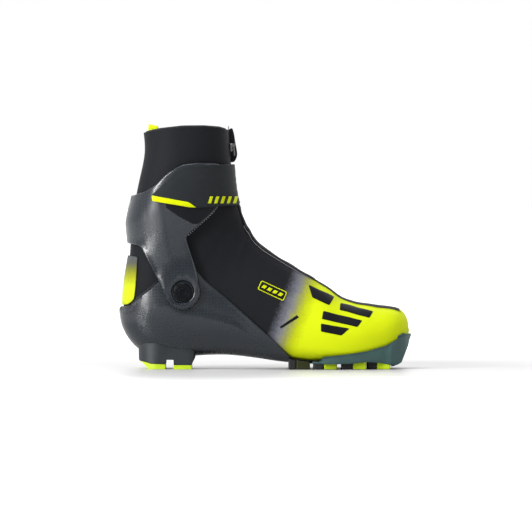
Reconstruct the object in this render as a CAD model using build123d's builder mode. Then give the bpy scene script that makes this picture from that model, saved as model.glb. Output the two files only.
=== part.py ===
"""Right-foot cross country skating boot, made as an assembly of separate pieces.

Frame: +X points to the toe, +Z up, +Y to the inner (medial) side of a right foot.
The origin is on the ground, under the middle of the boot's length and width.
All sizes are in millimetres.
"""

import os
from math import atan2, cos, degrees, hypot, pi, radians, sin

from build123d import *

# ---------------------------------------------------------------- driving dimensions
PIVOT_X, PIVOT_Z = -82.1, 76.9    # cuff hinge axis, along Y
PIVOT_WALL = 38.0                 # the upper's half width at the pivot
CUFF_FORWARD, CUFF_BACK = 20.0, 5.0    # how far the cuff leans, in degrees
REACH = 90.0                      # more than half the boot's width, for side-view cutting tools
FAR = 400.0                       # beyond the boot in any direction

# Layers of the wall, as distances out from the upper's outer surface.
UPPER_IN = -1.6                   # softshell upper
CHASSIS_IN, CHASSIS_OUT = 0.4, 2.9     # carbon chassis
LINING_OUT, LINING_IN = -2.0, -5.0     # foam lining
LACE_GAP = 4.0                    # room for the lace between the upper and the lining, over the instep
THROAT_LINING = 2.6               # the lining's thickness there
TONGUE_THICK = 3.0
SOFT_GAP = 0.4                    # clearance between soft layers
FOOTBED_OUT = LINING_IN - SOFT_GAP
CUFF_THICK = 2.8

# Flex wedge at the ankle: its edges' angles above the horizontal, seen from the pivot.
SPARE_ANGLE = 1.5
FLEX_FRONT_LOW = 25.0
FLEX_FRONT_HIGH = FLEX_FRONT_LOW + CUFF_FORWARD + SPARE_ANGLE
FLEX_BACK_LOW = 34.0
FLEX_BACK_HIGH = FLEX_BACK_LOW + CUFF_BACK + SPARE_ANGLE
FLEX_INSET = 0.2                  # degrees between the flex panel and its neighbours

# Zip, lining throat and footbed.
ZIP_HALF_SLOT, ZIP_CHAIN_HALF, ZIP_TAPE_HALF = 1.9, 1.5, 3.6
ZIP_END = 8                   # the station over the instep where the zip stops
THROAT_HALF, TONGUE_HALF = 9.0, 24.0
BOARD_EDGE = 7.0              # the lasting board's upturned edge, above the sole line
FOOTBED_THICK = 4.0
TAPE_OUT, TAPE_IN = -2.5, -3.0
THROAT_FRONT = {4: LINING_OUT, 7: UPPER_IN - LACE_GAP, 16: UPPER_IN - LACE_GAP, 20: TAPE_IN - SOFT_GAP}
THROAT_BACK = {4: LINING_IN, 7: UPPER_IN - LACE_GAP - THROAT_LINING}
THROAT_BACK |= {16: UPPER_IN - LACE_GAP - THROAT_LINING, 20: LINING_IN - SOFT_GAP}
TONGUE_GAP = 0.8
TONGUE_SIDE = LINING_IN - TONGUE_GAP
TONGUE_FRONT = {station: depth - TONGUE_GAP for station, depth in THROAT_BACK.items()}
TONGUE_BACK = {station: depth - TONGUE_THICK for station, depth in TONGUE_FRONT.items()}

# Cuff hinge hardware, as distances from the boot's middle plane.
TNUT_FLANGE_R, TNUT_FLANGE = 7.0, 0.9      # sunk into the chassis wall's inner face
TNUT_BARREL_R, TNUT_HOLE_R = 5.0, 3.0
TNUT_INNER = PIVOT_WALL + CHASSIS_IN
ARM_R = 18.4
ARM_IN = PIVOT_WALL + 3.9
ARM_FLOOR, ARM_OUT = ARM_IN + 2.2, ARM_IN + 4.2
BARREL_END = ARM_FLOOR + 0.1
BUSH_OUTER_R = 6.6
WASHER = 0.7
BOLT_HEAD_R, BOLT_HEAD, BOLT_SHANK_R = 9.4, 2.3, 2.9

# Cuff wall, as distances out from the upper; it tapers in at the back, station by station.
CUFF_BACK_IN = {16: 1.0, 17: 1.0, 18: 0.8, 19: 3.2, 20: 2.2, 21: 1.8, 22: 1.5}
CUFF_BACK_OUT = {station: depth + 2.4 for station, depth in CUFF_BACK_IN.items()}
CUFF_SIDE_IN = ARM_IN - PIVOT_WALL
CUFF_SIDE_OUT = CUFF_SIDE_IN + CUFF_THICK
CUFF_FRONT_IN, CUFF_FRONT_OUT = 0.7, 2.2

# Rivets that hold the strap's fixed end, on the inner side.
RIVETS = [(-79.5, 174.0), (-79.5, 191.0)]
RIVET_R, RIVET_HEAD_R = 2.6, 4.6
RIVET_IN, RIVET_OUT = 45.2, 50.9

# Toe bar and the slot that a binding reaches it through.
BAR_X, BAR_Z, BAR_R, BAR_HALF = 131.0, 9.5, 2.0, 18.0
BAR_SLOT_HALF = 12.5

# Forefoot tread: rows of (rear x, front x, where the insert starts, half width), and its grooves.
LUG_ROWS = [
    (23.3, 44.7, 31.0, 39.5), (48.3, 71.8, 58.5, 42.5),
    (76.4, 100.8, 87.5, 41.5), (102.0, 125.0, 111.4, 35.5),
]
GROOVE_IN, GROOVE_OUT, INSERT_IN = 9.5, 16.5, 28.0
LUG_TOP = 14.0

# Side-view outlines, as (x, z).
CHASSIS_EDGE = [
    (-160, 62.3), (-142.9, 62.3), (-135.4, 63.3), (-129.5, 71.2), (-117.6, 80.1), (-107.8, 89.0),
    (-98.0, 98.0), (-88.0, 103.5), (-74.0, 102.0), (-67.2, 96.9), (-60.3, 89.0), (-38.6, 71.2),
    (-16.8, 51.4), (6.9, 29.7), (22.7, 13.9), (34.0, 3.0),
]
HEEL_PATCH_EDGE = [
    (-160, 112.9), (-135.9, 112.9), (-128.4, 108.4), (-128.6, 102.1), (-129.8, 83.0),
    (-131.1, 70.6), (-134.0, 67.4), (-138.0, 64.2), (-160, 63.0),
]
CUFF_EDGE = [
    (-98.9, 69.2), (-106.8, 89.0), (-115.7, 106.8), (-120.6, 116.7), (-125.5, 123.6), (-137.4, 125.6),
    (-160, 126.0), (-160, 172.0), (-134.4, 173.0), (-129.5, 174.4), (-120.6, 177.0), (-109.7, 183.9),
    (-99.8, 193.8), (-90.0, 200.7), (-82.0, 204.6), (-68.0, 206.3), (-50.0, 206.0), (-44.0, 204.0),
    (-46.0, 168.0), (-47.4, 161.1), (-56.3, 152.3), (-70.2, 140.4), (-76.0, 135.5), (-78.9, 131.5),
    (-74.8, 117.9), (-66.8, 94.9), (-64.7, 82.9),
]
STRAP_LATERAL = [
    (-108.7, 178.0), (-89.0, 198.7), (-76.1, 203.7), (0.0, 204.8), (0.0, 163.6),
    (-26.7, 164.1), (-68.2, 161.1), (-112.7, 167.7), (-114.0, 174.0),
]
STRAP_MEDIAL = [(-70.0, 200.0), (-60.0, 204.0), (0.0, 204.8), (0.0, 163.6), (-60.0, 162.0), (-70.0, 165.0)]
LOOP_PATCH = [(-107.0, 176.0), (-88.0, 195.5), (-61.0, 198.5), (-61.0, 166.5), (-106.0, 170.5)]
HOOK_PATCH = [(-105.0, 176.5), (-87.0, 194.5), (-66.0, 198.0), (-66.0, 168.0), (-104.0, 171.5)]
TRIM = [(-114.0, 174.0), (-76.1, 167.1), (-68.2, 161.1), (-76.1, 161.1), (-112.7, 167.7)]
ANCHOR = [(-88.0, 169.0), (-88.0, 196.0), (-71.2, 200.0), (-71.2, 165.0)]
FLAP_EDGE = [
    (-36.0, 240.0), (-32.6, 241.0), (-30.6, 231.3), (-27.7, 215.5),
    (-28.3, 212.0), (-30.6, 206.5), (-34.2, 206.2),
]
LOOP_EDGE = [
    (-115.3, 227.0), (-115.6, 233.0), (-115.9, 239.4), (-118.4, 240.6), (-118.4, 243.0), (-117.0, 244.5),
    (-109.0, 242.2), (-106.9, 240.0), (-107.0, 227.0),
]
LOOP_HALF, LOOP_THICK = 8.4, 1.3
OUTSOLE_EDGE = [
    (29.8, 7.9), (54.4, 6.9), (57.3, 11.9), (82.0, 14.8), (101.8, 17.8), (121.6, 23.7),
    (135.4, 31.7), (143.3, 34.6), (160.0, 36.0), (160.0, -10.0), (48.4, -10.0),
]
TOE_BLOCK = [(126.0, 2.6), (128.5, 3.0), (133.5, 5.0), (136.4, 6.9), (143.3, 23.7), (145.2, 32.6),
             (145.0, 34.0), (138.0, 36.0), (126.0, 30.0)]
TOE_PLAN = [(120.0, 29.0), (133.0, 29.0), (140.0, 23.0), (143.5, 16.0), (145.6, 8.0)]
HEEL_BLOCK = [
    (-127.2, 26.0), (-126.4, 9.0), (-114.2, 5.7), (-99.4, 5.0), (-99.2, 9.2), (-91.6, 9.2), (-91.4, 4.3),
    (-73.5, 4.3), (-70.1, 11.2), (-69.0, 26.0),
]
HEEL_REAR = [(-125.6, 8.2), (-122.5, 6.4), (-116.7, 0.0), (-99.7, 0.0), (-99.7, 4.7), (-114.1, 5.3)]
HEEL_FRONT = [(-91.6, 0.0), (-73.4, 0.0), (-73.4, 3.9), (-91.6, 3.9)]

# The upper's outer surface is lofted through planes that fan from the toe, round the heel and up
# the shaft. Each row: (sole or back point x, z), (top or front point x, z), half width,
# side shift of the foot's curve, height share of the widest point, lower and upper roundness.
STATIONS = [
    ((143.7, 34.0), (143.9, 42.0), 11.0, 5.5, 0.45, 2.4, 2.4),
    ((141.6, 29.0), (142.7, 49.5), 19.0, 5.5, 0.40, 2.6, 2.3),
    ((136.3, 24.5), (137.4, 57.8), 29.5, 5.5, 0.34, 2.9, 2.4),
    ((126.5, 19.5), (127.3, 61.6), 37.8, 4.8, 0.28, 3.2, 2.5),
    ((112.0, 15.0), (113.0, 63.4), 43.2, 3.5, 0.24, 3.4, 2.4),
    ((95.0, 11.3), (96.5, 65.8), 46.8, 1.5, 0.22, 3.6, 2.2),
    ((77.0, 9.0), (79.5, 70.3), 48.3, -0.3, 0.22, 3.6, 2.0),
    ((57.0, 7.8), (61.5, 82.3), 48.0, -1.5, 0.23, 3.5, 1.9),
    ((35.0, 8.4), (44.0, 92.8), 46.0, -2.0, 0.25, 3.4, 1.85),
    ((11.0, 10.8), (27.0, 102.8), 43.5, -2.0, 0.28, 3.2, 1.85),
    ((-16.0, 14.6), (10.5, 112.8), 41.3, -1.5, 0.31, 3.0, 1.9),
    ((-46.0, 16.8), (-3.0, 122.5), 39.7, -1.0, 0.34, 2.8, 1.95),
    ((-78.0, 15.2), (-12.5, 132.6), 38.7, -0.5, 0.37, 2.7, 2.0),
    ((-107.0, 15.6), (-18.8, 143.6), 38.2, 0.0, 0.40, 2.6, 2.1),
    ((-128.0, 24.5), (-22.9, 153.0), PIVOT_WALL, 0.0, 0.43, 2.5, 2.2),
    ((-139.8, 45.0), (-25.7, 161.5), PIVOT_WALL, 0.0, 0.45, 2.4, 2.3),
    ((-142.3, 70.0), (-28.2, 169.5), 38.2, 0.0, 0.46, 2.3, 2.3),
    ((-139.5, 96.0), (-30.4, 177.5), 38.7, 0.0, 0.47, 2.3, 2.3),
    ((-135.6, 120.0), (-32.2, 186.5), 39.4, 0.0, 0.48, 2.3, 2.3),
    ((-133.6, 145.0), (-33.6, 196.5), 40.3, 0.0, 0.49, 2.3, 2.3),
    ((-129.9, 172.0), (-34.7, 207.5), 41.2, 0.0, 0.50, 2.3, 2.3),
    ((-124.3, 198.0), (-35.5, 219.0), 42.0, 0.0, 0.50, 2.3, 2.3),
    ((-121.0, 220.0), (-36.2, 230.0), 42.6, 0.0, 0.50, 2.3, 2.3),
    ((-122.6, 239.0), (-36.8, 241.5), 43.0, 0.0, 0.50, 2.3, 2.3),
    ((-123.4, 247.0), (-37.0, 248.0), 43.0, 0.0, 0.50, 2.3, 2.3),
]
LOWS = [station[0] for station in STATIONS]
HIGHS = [station[1] for station in STATIONS]
OUTLINE_POINTS = 28          # points on each section's closed spline


# ---------------------------------------------------------------- the foot's form
def outward(points, i, turn):
    """Unit normal of a polyline at point i, on the side that turn (+1 or -1) gives."""
    before, after = points[max(i - 1, 0)], points[min(i + 1, len(points) - 1)]
    dx, dz = after[0] - before[0], after[1] - before[1]
    size = hypot(dx, dz)
    return turn * -dz / size, turn * dx / size


def moved(points, i, turn, distance):
    """Point i of a polyline, moved outward by a distance."""
    normal = outward(points, i, turn)
    return points[i][0] + distance * normal[0], points[i][1] + distance * normal[1]


def outline(station, length, side_offset):
    """Closed outline of one section in its own plane: half width across, height along."""
    _, _, half, shift, share, low, high = station
    points = []
    for k in range(OUTLINE_POINTS):
        angle = 2 * pi * k / OUTLINE_POINTS
        up = -cos(angle)
        power, reach = (low, share) if up < 0 else (high, 1 - share)
        across = abs(sin(angle)) ** (2 / power) * (half + side_offset)
        along = share + (1 if up > 0 else -1) * reach * abs(up) ** (2 / power)
        points.append((shift + (across if sin(angle) >= 0 else -across), along * length))
    return points


def at(value, i):
    """An offset is one number, or a dictionary of station number to value, straight between them."""
    if not isinstance(value, dict):
        return value
    known = sorted(value)
    if i <= known[0]:
        return value[known[0]]
    for a, b in zip(known, known[1:]):
        if i <= b:
            return value[a] + (value[b] - value[a]) * (i - a) / (b - a)
    return value[known[-1]]


def section_curve(points):
    """Closed spline whose knots sit at the same places on every section, so lofts stay light."""
    middle = outline(STATIONS[9], 90, 0)
    knots = [0.0]
    for (xa, ya), (xb, yb) in zip(middle, middle[1:] + middle[:1]):
        knots.append(knots[-1] + hypot(xb - xa, yb - ya))
    return Edge.make_spline([Vector(*p) for p in points], periodic=True, parameters=knots)


def form(back, side, front, first=0, last=len(STATIONS) - 1):
    """The foot's form between two stations, with its back, sides and front moved out by offsets."""
    with BuildPart() as body:
        for i in range(first, last + 1):
            low = moved(LOWS, i, 1, at(back, i))
            high = moved(HIGHS, i, -1, at(front, i))
            length = hypot(high[0] - low[0], high[1] - low[1])
            ux, uz = (high[0] - low[0]) / length, (high[1] - low[1]) / length
            with BuildSketch(Plane(origin=(low[0], 0, low[1]), x_dir=(0, 1, 0), z_dir=(uz, 0, -ux))):
                with BuildLine():
                    add(section_curve(outline(STATIONS[i], length, at(side, i))))
                make_face()
        loft()
    return body.part


def ray(angle, radius=FAR, forward=1):
    """The side-view point at an angle above the horizontal, in front of or behind the pivot."""
    return PIVOT_X + forward * radius * cos(radians(angle)), PIVOT_Z + radius * sin(radians(angle))


def prism(*points, low=-REACH, high=REACH):
    """A side-view polygon, extruded along Y from low to high."""
    with BuildPart() as tool:
        with BuildSketch(Plane.XZ.offset(-high)):
            with BuildLine():
                Polyline(*points, close=True)
            make_face()
        extrude(amount=high - low)
    return tool.part


def front_strip(outer, inner, half_width, first, last):
    """A strip of the given half width along the front line, between two offsets from it."""
    outside = [moved(HIGHS, i, -1, outer) for i in range(first, last + 1)]
    inside = [moved(HIGHS, i, -1, inner) for i in range(first, last + 1)]
    with BuildPart() as strip:
        with BuildSketch(Plane.XZ):
            with BuildLine():
                Spline(*outside)
                Line(outside[-1], inside[-1])
                Spline(*reversed(inside))
                Line(inside[0], outside[0])
            make_face()
        extrude(amount=half_width, both=True)
    return strip.part


def wall(outer, inner, *zones):
    """What lies between two forms, kept only inside the given zones."""
    with BuildPart() as layer:
        add(outer)
        add(inner, mode=Mode.SUBTRACT)
        for zone in zones:
            add(zone, mode=Mode.INTERSECT)
    return layer


def disc(radius, height, hole=0.0):
    """A disc, or a ring, standing on its own origin."""
    with BuildPart() as ring:
        Cylinder(radius, height, align=(Align.CENTER, Align.CENTER, Align.MIN))
        if hole:
            Cylinder(hole, height, align=(Align.CENTER, Align.CENTER, Align.MIN), mode=Mode.SUBTRACT)
    return ring.part


def sideways(shape, x, z, distance, side):
    """Turns a shape built up along +Z to point out to one side, from a side-view point."""
    return Pos(x, side * distance, z) * Rot(-90 * side, 0, 0) * shape


def throat(station, depth, across=0.0):
    """Side-view point at a depth under the front surface, at a station number that may be a fraction
    and at a place across the boot (its y)."""
    a = int(station)
    ends = []
    for i in (a, a + 1):
        x, z = moved(HIGHS, i, -1, depth)
        low, high, half, shift, share, _, power = STATIONS[i]
        height = (1 - share) * hypot(high[0] - low[0], high[1] - low[1]) - 4
        away = abs(across - shift) if across else 0
        fall = height * (1 - (1 - (away / (half - 3)) ** power) ** (1 / power))
        ux, uz = high[0] - low[0], high[1] - low[1]
        ends.append((x - fall * ux / hypot(ux, uz), z - fall * uz / hypot(ux, uz)))
    (xa, za), (xb, zb) = ends
    share = station - a
    return xa + share * (xb - xa), za + share * (zb - za)


def save(builder, name):
    """Labels a finished piece with its node name and writes its STEP file."""
    builder.part.label = name
    export_step(builder.part, f"parts/{name}.step")


os.makedirs("parts", exist_ok=True)

# ---------------------------------------------------------------- cutting tools in side view
with BuildPart() as collar_top:          # everything above the collar's curved top edge
    with BuildSketch(Plane.XZ):
        with BuildLine():
            ThreePointArc((-140, 231.0), (-70, 242.8), (-20, 235.5))
            Polyline((-20, 235.5), (-20, 300), (-140, 300), (-140, 231.0))
        make_face()
    extrude(amount=REACH, both=True)
with BuildPart() as sole_zone:           # below the lasting board's edge
    with BuildSketch(Plane.XZ):
        with BuildLine():
            edge = [(x, z + BOARD_EDGE) for x, z in LOWS[:14]]
            Spline(*edge)
            Polyline(edge[-1], (-160, edge[-1][1] + 6), (-160, -20), (160, -20), (160, edge[0][1]), edge[0])
        make_face()
    extrude(amount=REACH, both=True)
with BuildPart() as footbed_zone:        # below the footbed's top face
    with BuildSketch(Plane.XZ):
        with BuildLine():
            top = [(x, z - FOOTBED_OUT + FOOTBED_THICK) for x, z in LOWS[:14]]
            Spline(*top)
            Polyline(top[-1], (-160, top[-1][1]), (-160, -20), (160, -20), (160, top[0][1]), top[0])
        make_face()
    extrude(amount=REACH, both=True)

PIVOT = (PIVOT_X, PIVOT_Z)
PIVOT_CLEARANCE = Pos(PIVOT_X, -REACH, PIVOT_Z) * Rot(-90, 0, 0) * disc(4, 2 * REACH)
FOOT_ZONE = prism(PIVOT, ray(FLEX_FRONT_LOW), (FAR, -FAR), (-FAR, -FAR), ray(FLEX_BACK_LOW, forward=-1))
SHAFT_ZONE = prism(PIVOT, ray(FLEX_FRONT_HIGH), (0, FAR), ray(FLEX_BACK_HIGH, forward=-1))
SHAFT_ZONE -= collar_top.part
FRONT_WEDGE = prism(PIVOT, ray(FLEX_FRONT_LOW + FLEX_INSET), ray(FLEX_FRONT_HIGH - FLEX_INSET))
BACK_WEDGE = prism(
    PIVOT,
    ray(FLEX_BACK_LOW + FLEX_INSET, forward=-1),
    ray(FLEX_BACK_HIGH - FLEX_INSET, forward=-1),
)
ZONES = {"foot": [FOOT_ZONE], "ankle": [FRONT_WEDGE, BACK_WEDGE], "shaft": [SHAFT_ZONE]}


def save_in_zones(whole, name):
    """Cuts a soft layer at the flex wedge and writes its foot, ankle and shaft pieces."""
    for zone, tools in ZONES.items():
        cuts = [whole & tool for tool in tools]
        with BuildPart() as piece:
            for cut in cuts:
                if cut.volume > 1:
                    add(cut)
        save(piece, f"{name}_{zone}")


# ---------------------------------------------------------------- softshell upper
upper_outside = form(0, 0, 0)
upper_inside = form(UPPER_IN, UPPER_IN, UPPER_IN)
zip_slot = front_strip(3, -9, ZIP_HALF_SLOT, ZIP_END, 24)
with BuildPart() as upper:
    add(upper_outside)
    add(upper_inside, mode=Mode.SUBTRACT)
    add(zip_slot, mode=Mode.SUBTRACT)
    add(PIVOT_CLEARANCE, mode=Mode.SUBTRACT)
save_in_zones(upper.part, "upper")

# ---------------------------------------------------------------- foam lining, with a laced throat
lining_outside = form(LINING_OUT, LINING_OUT, THROAT_FRONT)
lining_inside = form(LINING_IN, LINING_IN, THROAT_BACK)
throat_opening = front_strip(3, -13, THROAT_HALF, 7, 19)
with BuildPart() as lining:
    add(lining_outside)
    add(lining_inside, mode=Mode.SUBTRACT)
    add(throat_opening, mode=Mode.SUBTRACT)
    add(Pos(0, 0, SOFT_GAP) * sole_zone.part, mode=Mode.SUBTRACT)
    add(PIVOT_CLEARANCE, mode=Mode.SUBTRACT)
save_in_zones(lining.part, "lining")
save(wall(lining_outside, lining_inside, sole_zone.part), "lasting_board")

with BuildPart() as footbed:
    add(form(FOOTBED_OUT, FOOTBED_OUT, FOOTBED_OUT, last=15))
    add(footbed_zone.part, mode=Mode.INTERSECT)
save(footbed, "footbed")

# ---------------------------------------------------------------- tongue
tongue_outside = form(0, TONGUE_SIDE, TONGUE_FRONT, first=6, last=20)
tongue_inside = form(-4, TONGUE_SIDE - TONGUE_THICK, TONGUE_BACK, first=5, last=21)
tongue_zone = front_strip(3, -30, TONGUE_HALF, 6, 19)
save_in_zones(wall(tongue_outside, tongue_inside, tongue_zone).part, "tongue")

# ---------------------------------------------------------------- zip along the front
save_in_zones(front_strip(0.5, TAPE_OUT + 0.03, ZIP_CHAIN_HALF, ZIP_END, 24), "zip_chain")
save_in_zones(front_strip(TAPE_OUT, TAPE_IN, ZIP_TAPE_HALF, ZIP_END, 24), "zip_tape")

SLIDER_AT = 21.2                         # station number of the slider, on the front line
slider_low, slider_high = throat(SLIDER_AT - 0.4, 0.9), throat(SLIDER_AT + 0.4, 0.9)
slider_low_out, slider_high_out = throat(SLIDER_AT - 0.4, 2.7), throat(SLIDER_AT + 0.4, 2.7)
PULL_X, PULL_Z = throat(SLIDER_AT + 0.25, 4.3)
slider_plate = prism(slider_low, slider_high, slider_high_out, slider_low_out, low=-3.4, high=3.4)
slider_plate = fillet(slider_plate.edges().filter_by(Axis.X, tolerance=20), 1.5)
slider_ear = prism(
    throat(SLIDER_AT + 0.05, 2.6), throat(SLIDER_AT + 0.38, 2.6),
    throat(SLIDER_AT + 0.38, 5.4), throat(SLIDER_AT + 0.12, 5.4),
    low=-0.7, high=0.7,
)
with BuildPart() as zip_slider:
    add(slider_plate)
    add(Pos(0, -1.6, 0) * slider_ear)
    add(Pos(0, 1.6, 0) * slider_ear)
    add(Pos(PULL_X, -2.5, PULL_Z) * Rot(-90, 0, 0) * disc(0.6, 5))
save(zip_slider, "zip_slider")

with BuildPart() as zip_pull:
    with BuildSketch(Plane.XZ):
        with Locations((PULL_X, PULL_Z)):
            Circle(1.15)
        with BuildLine():
            Polyline(
                (PULL_X - 0.6, PULL_Z), (PULL_X + 0.6, PULL_Z),
                (PULL_X + 1.3, PULL_Z - 10.5), (PULL_X + 0.1, PULL_Z - 10.5), close=True,
            )
        make_face()
    extrude(amount=0.75, both=True)
    with BuildSketch(Plane.XZ):
        with BuildLine():
            Polyline(
                (PULL_X - 0.15, PULL_Z - 3.2), (PULL_X + 1.1, PULL_Z - 3.2),
                (PULL_X + 1.5, PULL_Z - 11.0), (PULL_X + 0.2, PULL_Z - 11.0), close=True,
            )
        make_face()
    extrude(amount=2.3, both=True)
    with Locations(Location((PULL_X, 0, PULL_Z), (90, 0, 0))):
        Cylinder(0.68, 8, mode=Mode.SUBTRACT)
save(zip_pull, "zip_pull")

# ---------------------------------------------------------------- speed lace over the tongue
LACE_R = 0.7
LACE_DEPTH, STAY_OUT, STAY_IN = -3.8, -5.1, -5.5
LACE_ROWS = (7.2, 7.8, 8.4, 9.0)         # station numbers of the lace's crossings
LACE_HALF = 13.0
stay_low, stay_high = 6.9, 9.6
stay_outside = form(-1, -1.75, STAY_OUT, first=5, last=12)
stay_inside = form(-2, -1.9, STAY_IN, first=4, last=13)
stay_edge = (throat(stay_low, 3), throat(stay_high, 3), throat(stay_high, -16), throat(stay_low, -16))
save(wall(stay_outside, stay_inside, prism(*stay_edge, low=-16.6, high=-9.4)), "eyestay_lateral")
save(wall(stay_outside, stay_inside, prism(*stay_edge, low=9.4, high=16.6)), "eyestay_medial")

guide_blocks = []
for row, above in zip(LACE_ROWS, LACE_ROWS[1:]):
    ends = (row + 0.13, above - 0.13)
    for side in (-1, 1):
        edge = [throat(end, -2.8, 12.0 * side) for end in ends] + [throat(end, -9) for end in reversed(ends)]
        low, high = sorted((9.6 * side, 12.0 * side))
        guide_blocks.append(prism(*edge, low=low, high=high))
stay_cut = form(-1, -1.7, STAY_OUT + 0.05, first=5, last=12)
with BuildPart() as lace_guides:
    for block in guide_blocks:
        add(block - stay_cut)
save(lace_guides, "lace_guides")

LOCK_AT = 9.72                           # station number of the lace lock's middle
lock_x, lock_z = throat(LOCK_AT, -5.6)
lock_along = (HIGHS[10][0] - HIGHS[9][0], HIGHS[10][1] - HIGHS[9][1])
LOCK_TILT = degrees(atan2(lock_along[1], -lock_along[0]))
LOCK_LONG, LOCK_WIDE, LOCK_TALL = 13.0, 12.0, 4.6
BUTTON_LONG, BUTTON_WIDE, BUTTON_TALL = 6.0, 6.0, 2.6
BUTTON_TRAVEL = 2.5
lock_place = Pos(lock_x, 0, lock_z) * Rot(0, LOCK_TILT, 0)      # local -X runs up the throat
with BuildPart() as lock_form:
    Box(LOCK_LONG, LOCK_WIDE, LOCK_TALL)
    fillet(lock_form.edges().filter_by(Axis.Z), 2.0)
    pocket = Location((-LOCK_LONG / 2 + 4.5, 0, 0))
    with Locations(pocket):
        Box(9.0, BUTTON_WIDE + 0.3, BUTTON_TALL + 0.3, mode=Mode.SUBTRACT)
    with Locations((LOCK_LONG / 2 - 2.2, 4.4, 0), (LOCK_LONG / 2 - 2.2, -4.4, 0)):
        Cylinder(LACE_R + 0.3, 5, rotation=(0, 90, 0), mode=Mode.SUBTRACT)
with BuildPart() as button_form:
    with Locations((-LOCK_LONG / 2 + 1.2, 0, 0)):
        Box(BUTTON_LONG, BUTTON_WIDE, BUTTON_TALL)
    fillet(button_form.edges().group_by(Axis.X)[0], 0.6)
with BuildPart() as spring_form:
    with Locations((-LOCK_LONG / 2 + 6.35, 0, 0)):
        Cylinder(1.1, 3.6, rotation=(0, 90, 0))
        Cylinder(0.7, 3.6, rotation=(0, 90, 0), mode=Mode.SUBTRACT)
LOCK_PIECES = {"lace_lock": lock_form, "lace_lock_button": button_form, "lace_lock_spring": spring_form}
for name, shape in LOCK_PIECES.items():
    with BuildPart() as placed:
        add(lock_place * shape.part)
    save(placed, name)

lace_path = []
side = -1
for row in LACE_ROWS:
    for y in (-LACE_HALF, -7.0, 0.0, 7.0, LACE_HALF):
        x, z = throat(row, LACE_DEPTH, -side * y)
        lace_path.append((x, -side * y, z))
    side = -side
near_x, near_z = throat(9.16, LACE_DEPTH, -9.4)
end_x, end_z = throat(9.28, -4.4)
lace_path += [(near_x, -9.4, near_z), (end_x, -6.5, end_z), (end_x, -4.4, end_z)]
with BuildPart() as lace:
    with BuildLine() as lace_line:
        FilletPolyline(*lace_path, radius=1.0)
    with BuildSketch(Plane(origin=lace_line.line @ 0, z_dir=lace_line.line % 0)):
        Circle(LACE_R)
    sweep(transition=Transition.ROUND)
save(lace, "lace")

# ---------------------------------------------------------------- carbon chassis and heel patch
chassis_zone = prism(*CHASSIS_EDGE, (34, -20), (-160, -20))
with BuildPart() as chassis:
    add(wall(
        form(CHASSIS_OUT, CHASSIS_OUT, CHASSIS_OUT, first=3, last=20),
        form(CHASSIS_IN, CHASSIS_IN, CHASSIS_IN, first=2, last=21),
        chassis_zone,
    ).part)
    for side in (-1, 1):
        for radius in (TNUT_FLANGE_R, TNUT_BARREL_R):
            height = TNUT_FLANGE + 1.05 if radius == TNUT_FLANGE_R else 20
            with Locations(Location((PIVOT_X, side * (TNUT_INNER - 1), PIVOT_Z), (-90 * side, 0, 0))):
                Cylinder(radius + 0.1, height, align=(Align.CENTER, Align.CENTER, Align.MIN),
                         mode=Mode.SUBTRACT)
save(chassis, "carbon_chassis")

heel_patch = wall(form(1.2, 1.2, 1.2, first=12, last=20), form(0.4, 0.4, 0.4, first=11, last=21),
                  prism(*HEEL_PATCH_EDGE))
save(heel_patch, "heel_patch")

# ---------------------------------------------------------------- pivot hardware, both sides
BOTH = (-1, 1)
with BuildPart() as bolt_form:
    Cylinder(BOLT_HEAD_R, BOLT_HEAD, align=(Align.CENTER, Align.CENTER, Align.MIN))
    fillet(bolt_form.edges().group_by(Axis.Z)[-1], 1.2)
    with BuildSketch(Plane.XY.offset(BOLT_HEAD)):
        RegularPolygon(2.9, 6)
    extrude(amount=-1.5, mode=Mode.SUBTRACT)
    with Locations((0, 0, -4.6)):
        Cylinder(BOLT_SHANK_R, 4.7, align=(Align.CENTER, Align.CENTER, Align.MIN))

flange = disc(TNUT_FLANGE_R, TNUT_FLANGE, TNUT_HOLE_R)
barrel = disc(TNUT_BARREL_R, BARREL_END - TNUT_INNER, TNUT_HOLE_R)
HARDWARE = {
    "pivot_tnuts": [(flange, TNUT_INNER), (barrel, TNUT_INNER)],
    "pivot_bushes": [(disc(BUSH_OUTER_R, ARM_FLOOR - ARM_IN, TNUT_BARREL_R + 0.06), ARM_IN)],
    "pivot_washers": [(disc(BOLT_HEAD_R + 0.3, WASHER, BOLT_SHANK_R + 0.2), BARREL_END)],
    "pivot_bolts": [(bolt_form.part, BARREL_END + WASHER)],
}
for name, shapes in HARDWARE.items():
    placed_shapes = [
        sideways(shape, PIVOT_X, PIVOT_Z, distance, side) for side in BOTH for shape, distance in shapes
    ]
    with BuildPart() as hardware:
        for shape in placed_shapes:
            add(shape)
    save(hardware, name)

# ---------------------------------------------------------------- cuff shell
with BuildPart() as cuff_profile:
    with BuildSketch(Plane.XZ):
        with BuildLine():
            Polyline(*CUFF_EDGE)
            ThreePointArc(CUFF_EDGE[-1], ray(-80, ARM_R), CUFF_EDGE[0])
        make_face()
    extrude(amount=REACH, both=True)
cuff_outside = form(CUFF_BACK_OUT, CUFF_SIDE_OUT, CUFF_FRONT_OUT, first=12, last=23)
cuff_inside = form(CUFF_BACK_IN, CUFF_SIDE_IN, CUFF_FRONT_IN, first=10, last=24)
bosses = [sideways(disc(ARM_R - 0.6, ARM_OUT - ARM_IN), PIVOT_X, PIVOT_Z, ARM_IN, side) for side in BOTH]
bores = [sideways(disc(BUSH_OUTER_R + 0.05, 30), PIVOT_X, PIVOT_Z, ARM_IN - 2, side) for side in BOTH]
bores += [sideways(disc(BOLT_HEAD_R + 0.9, 30), PIVOT_X, PIVOT_Z, ARM_FLOOR, side) for side in BOTH]
bores += [sideways(disc(RIVET_R + 0.05, 30), x, z, 35, 1) for x, z in RIVETS]
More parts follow.
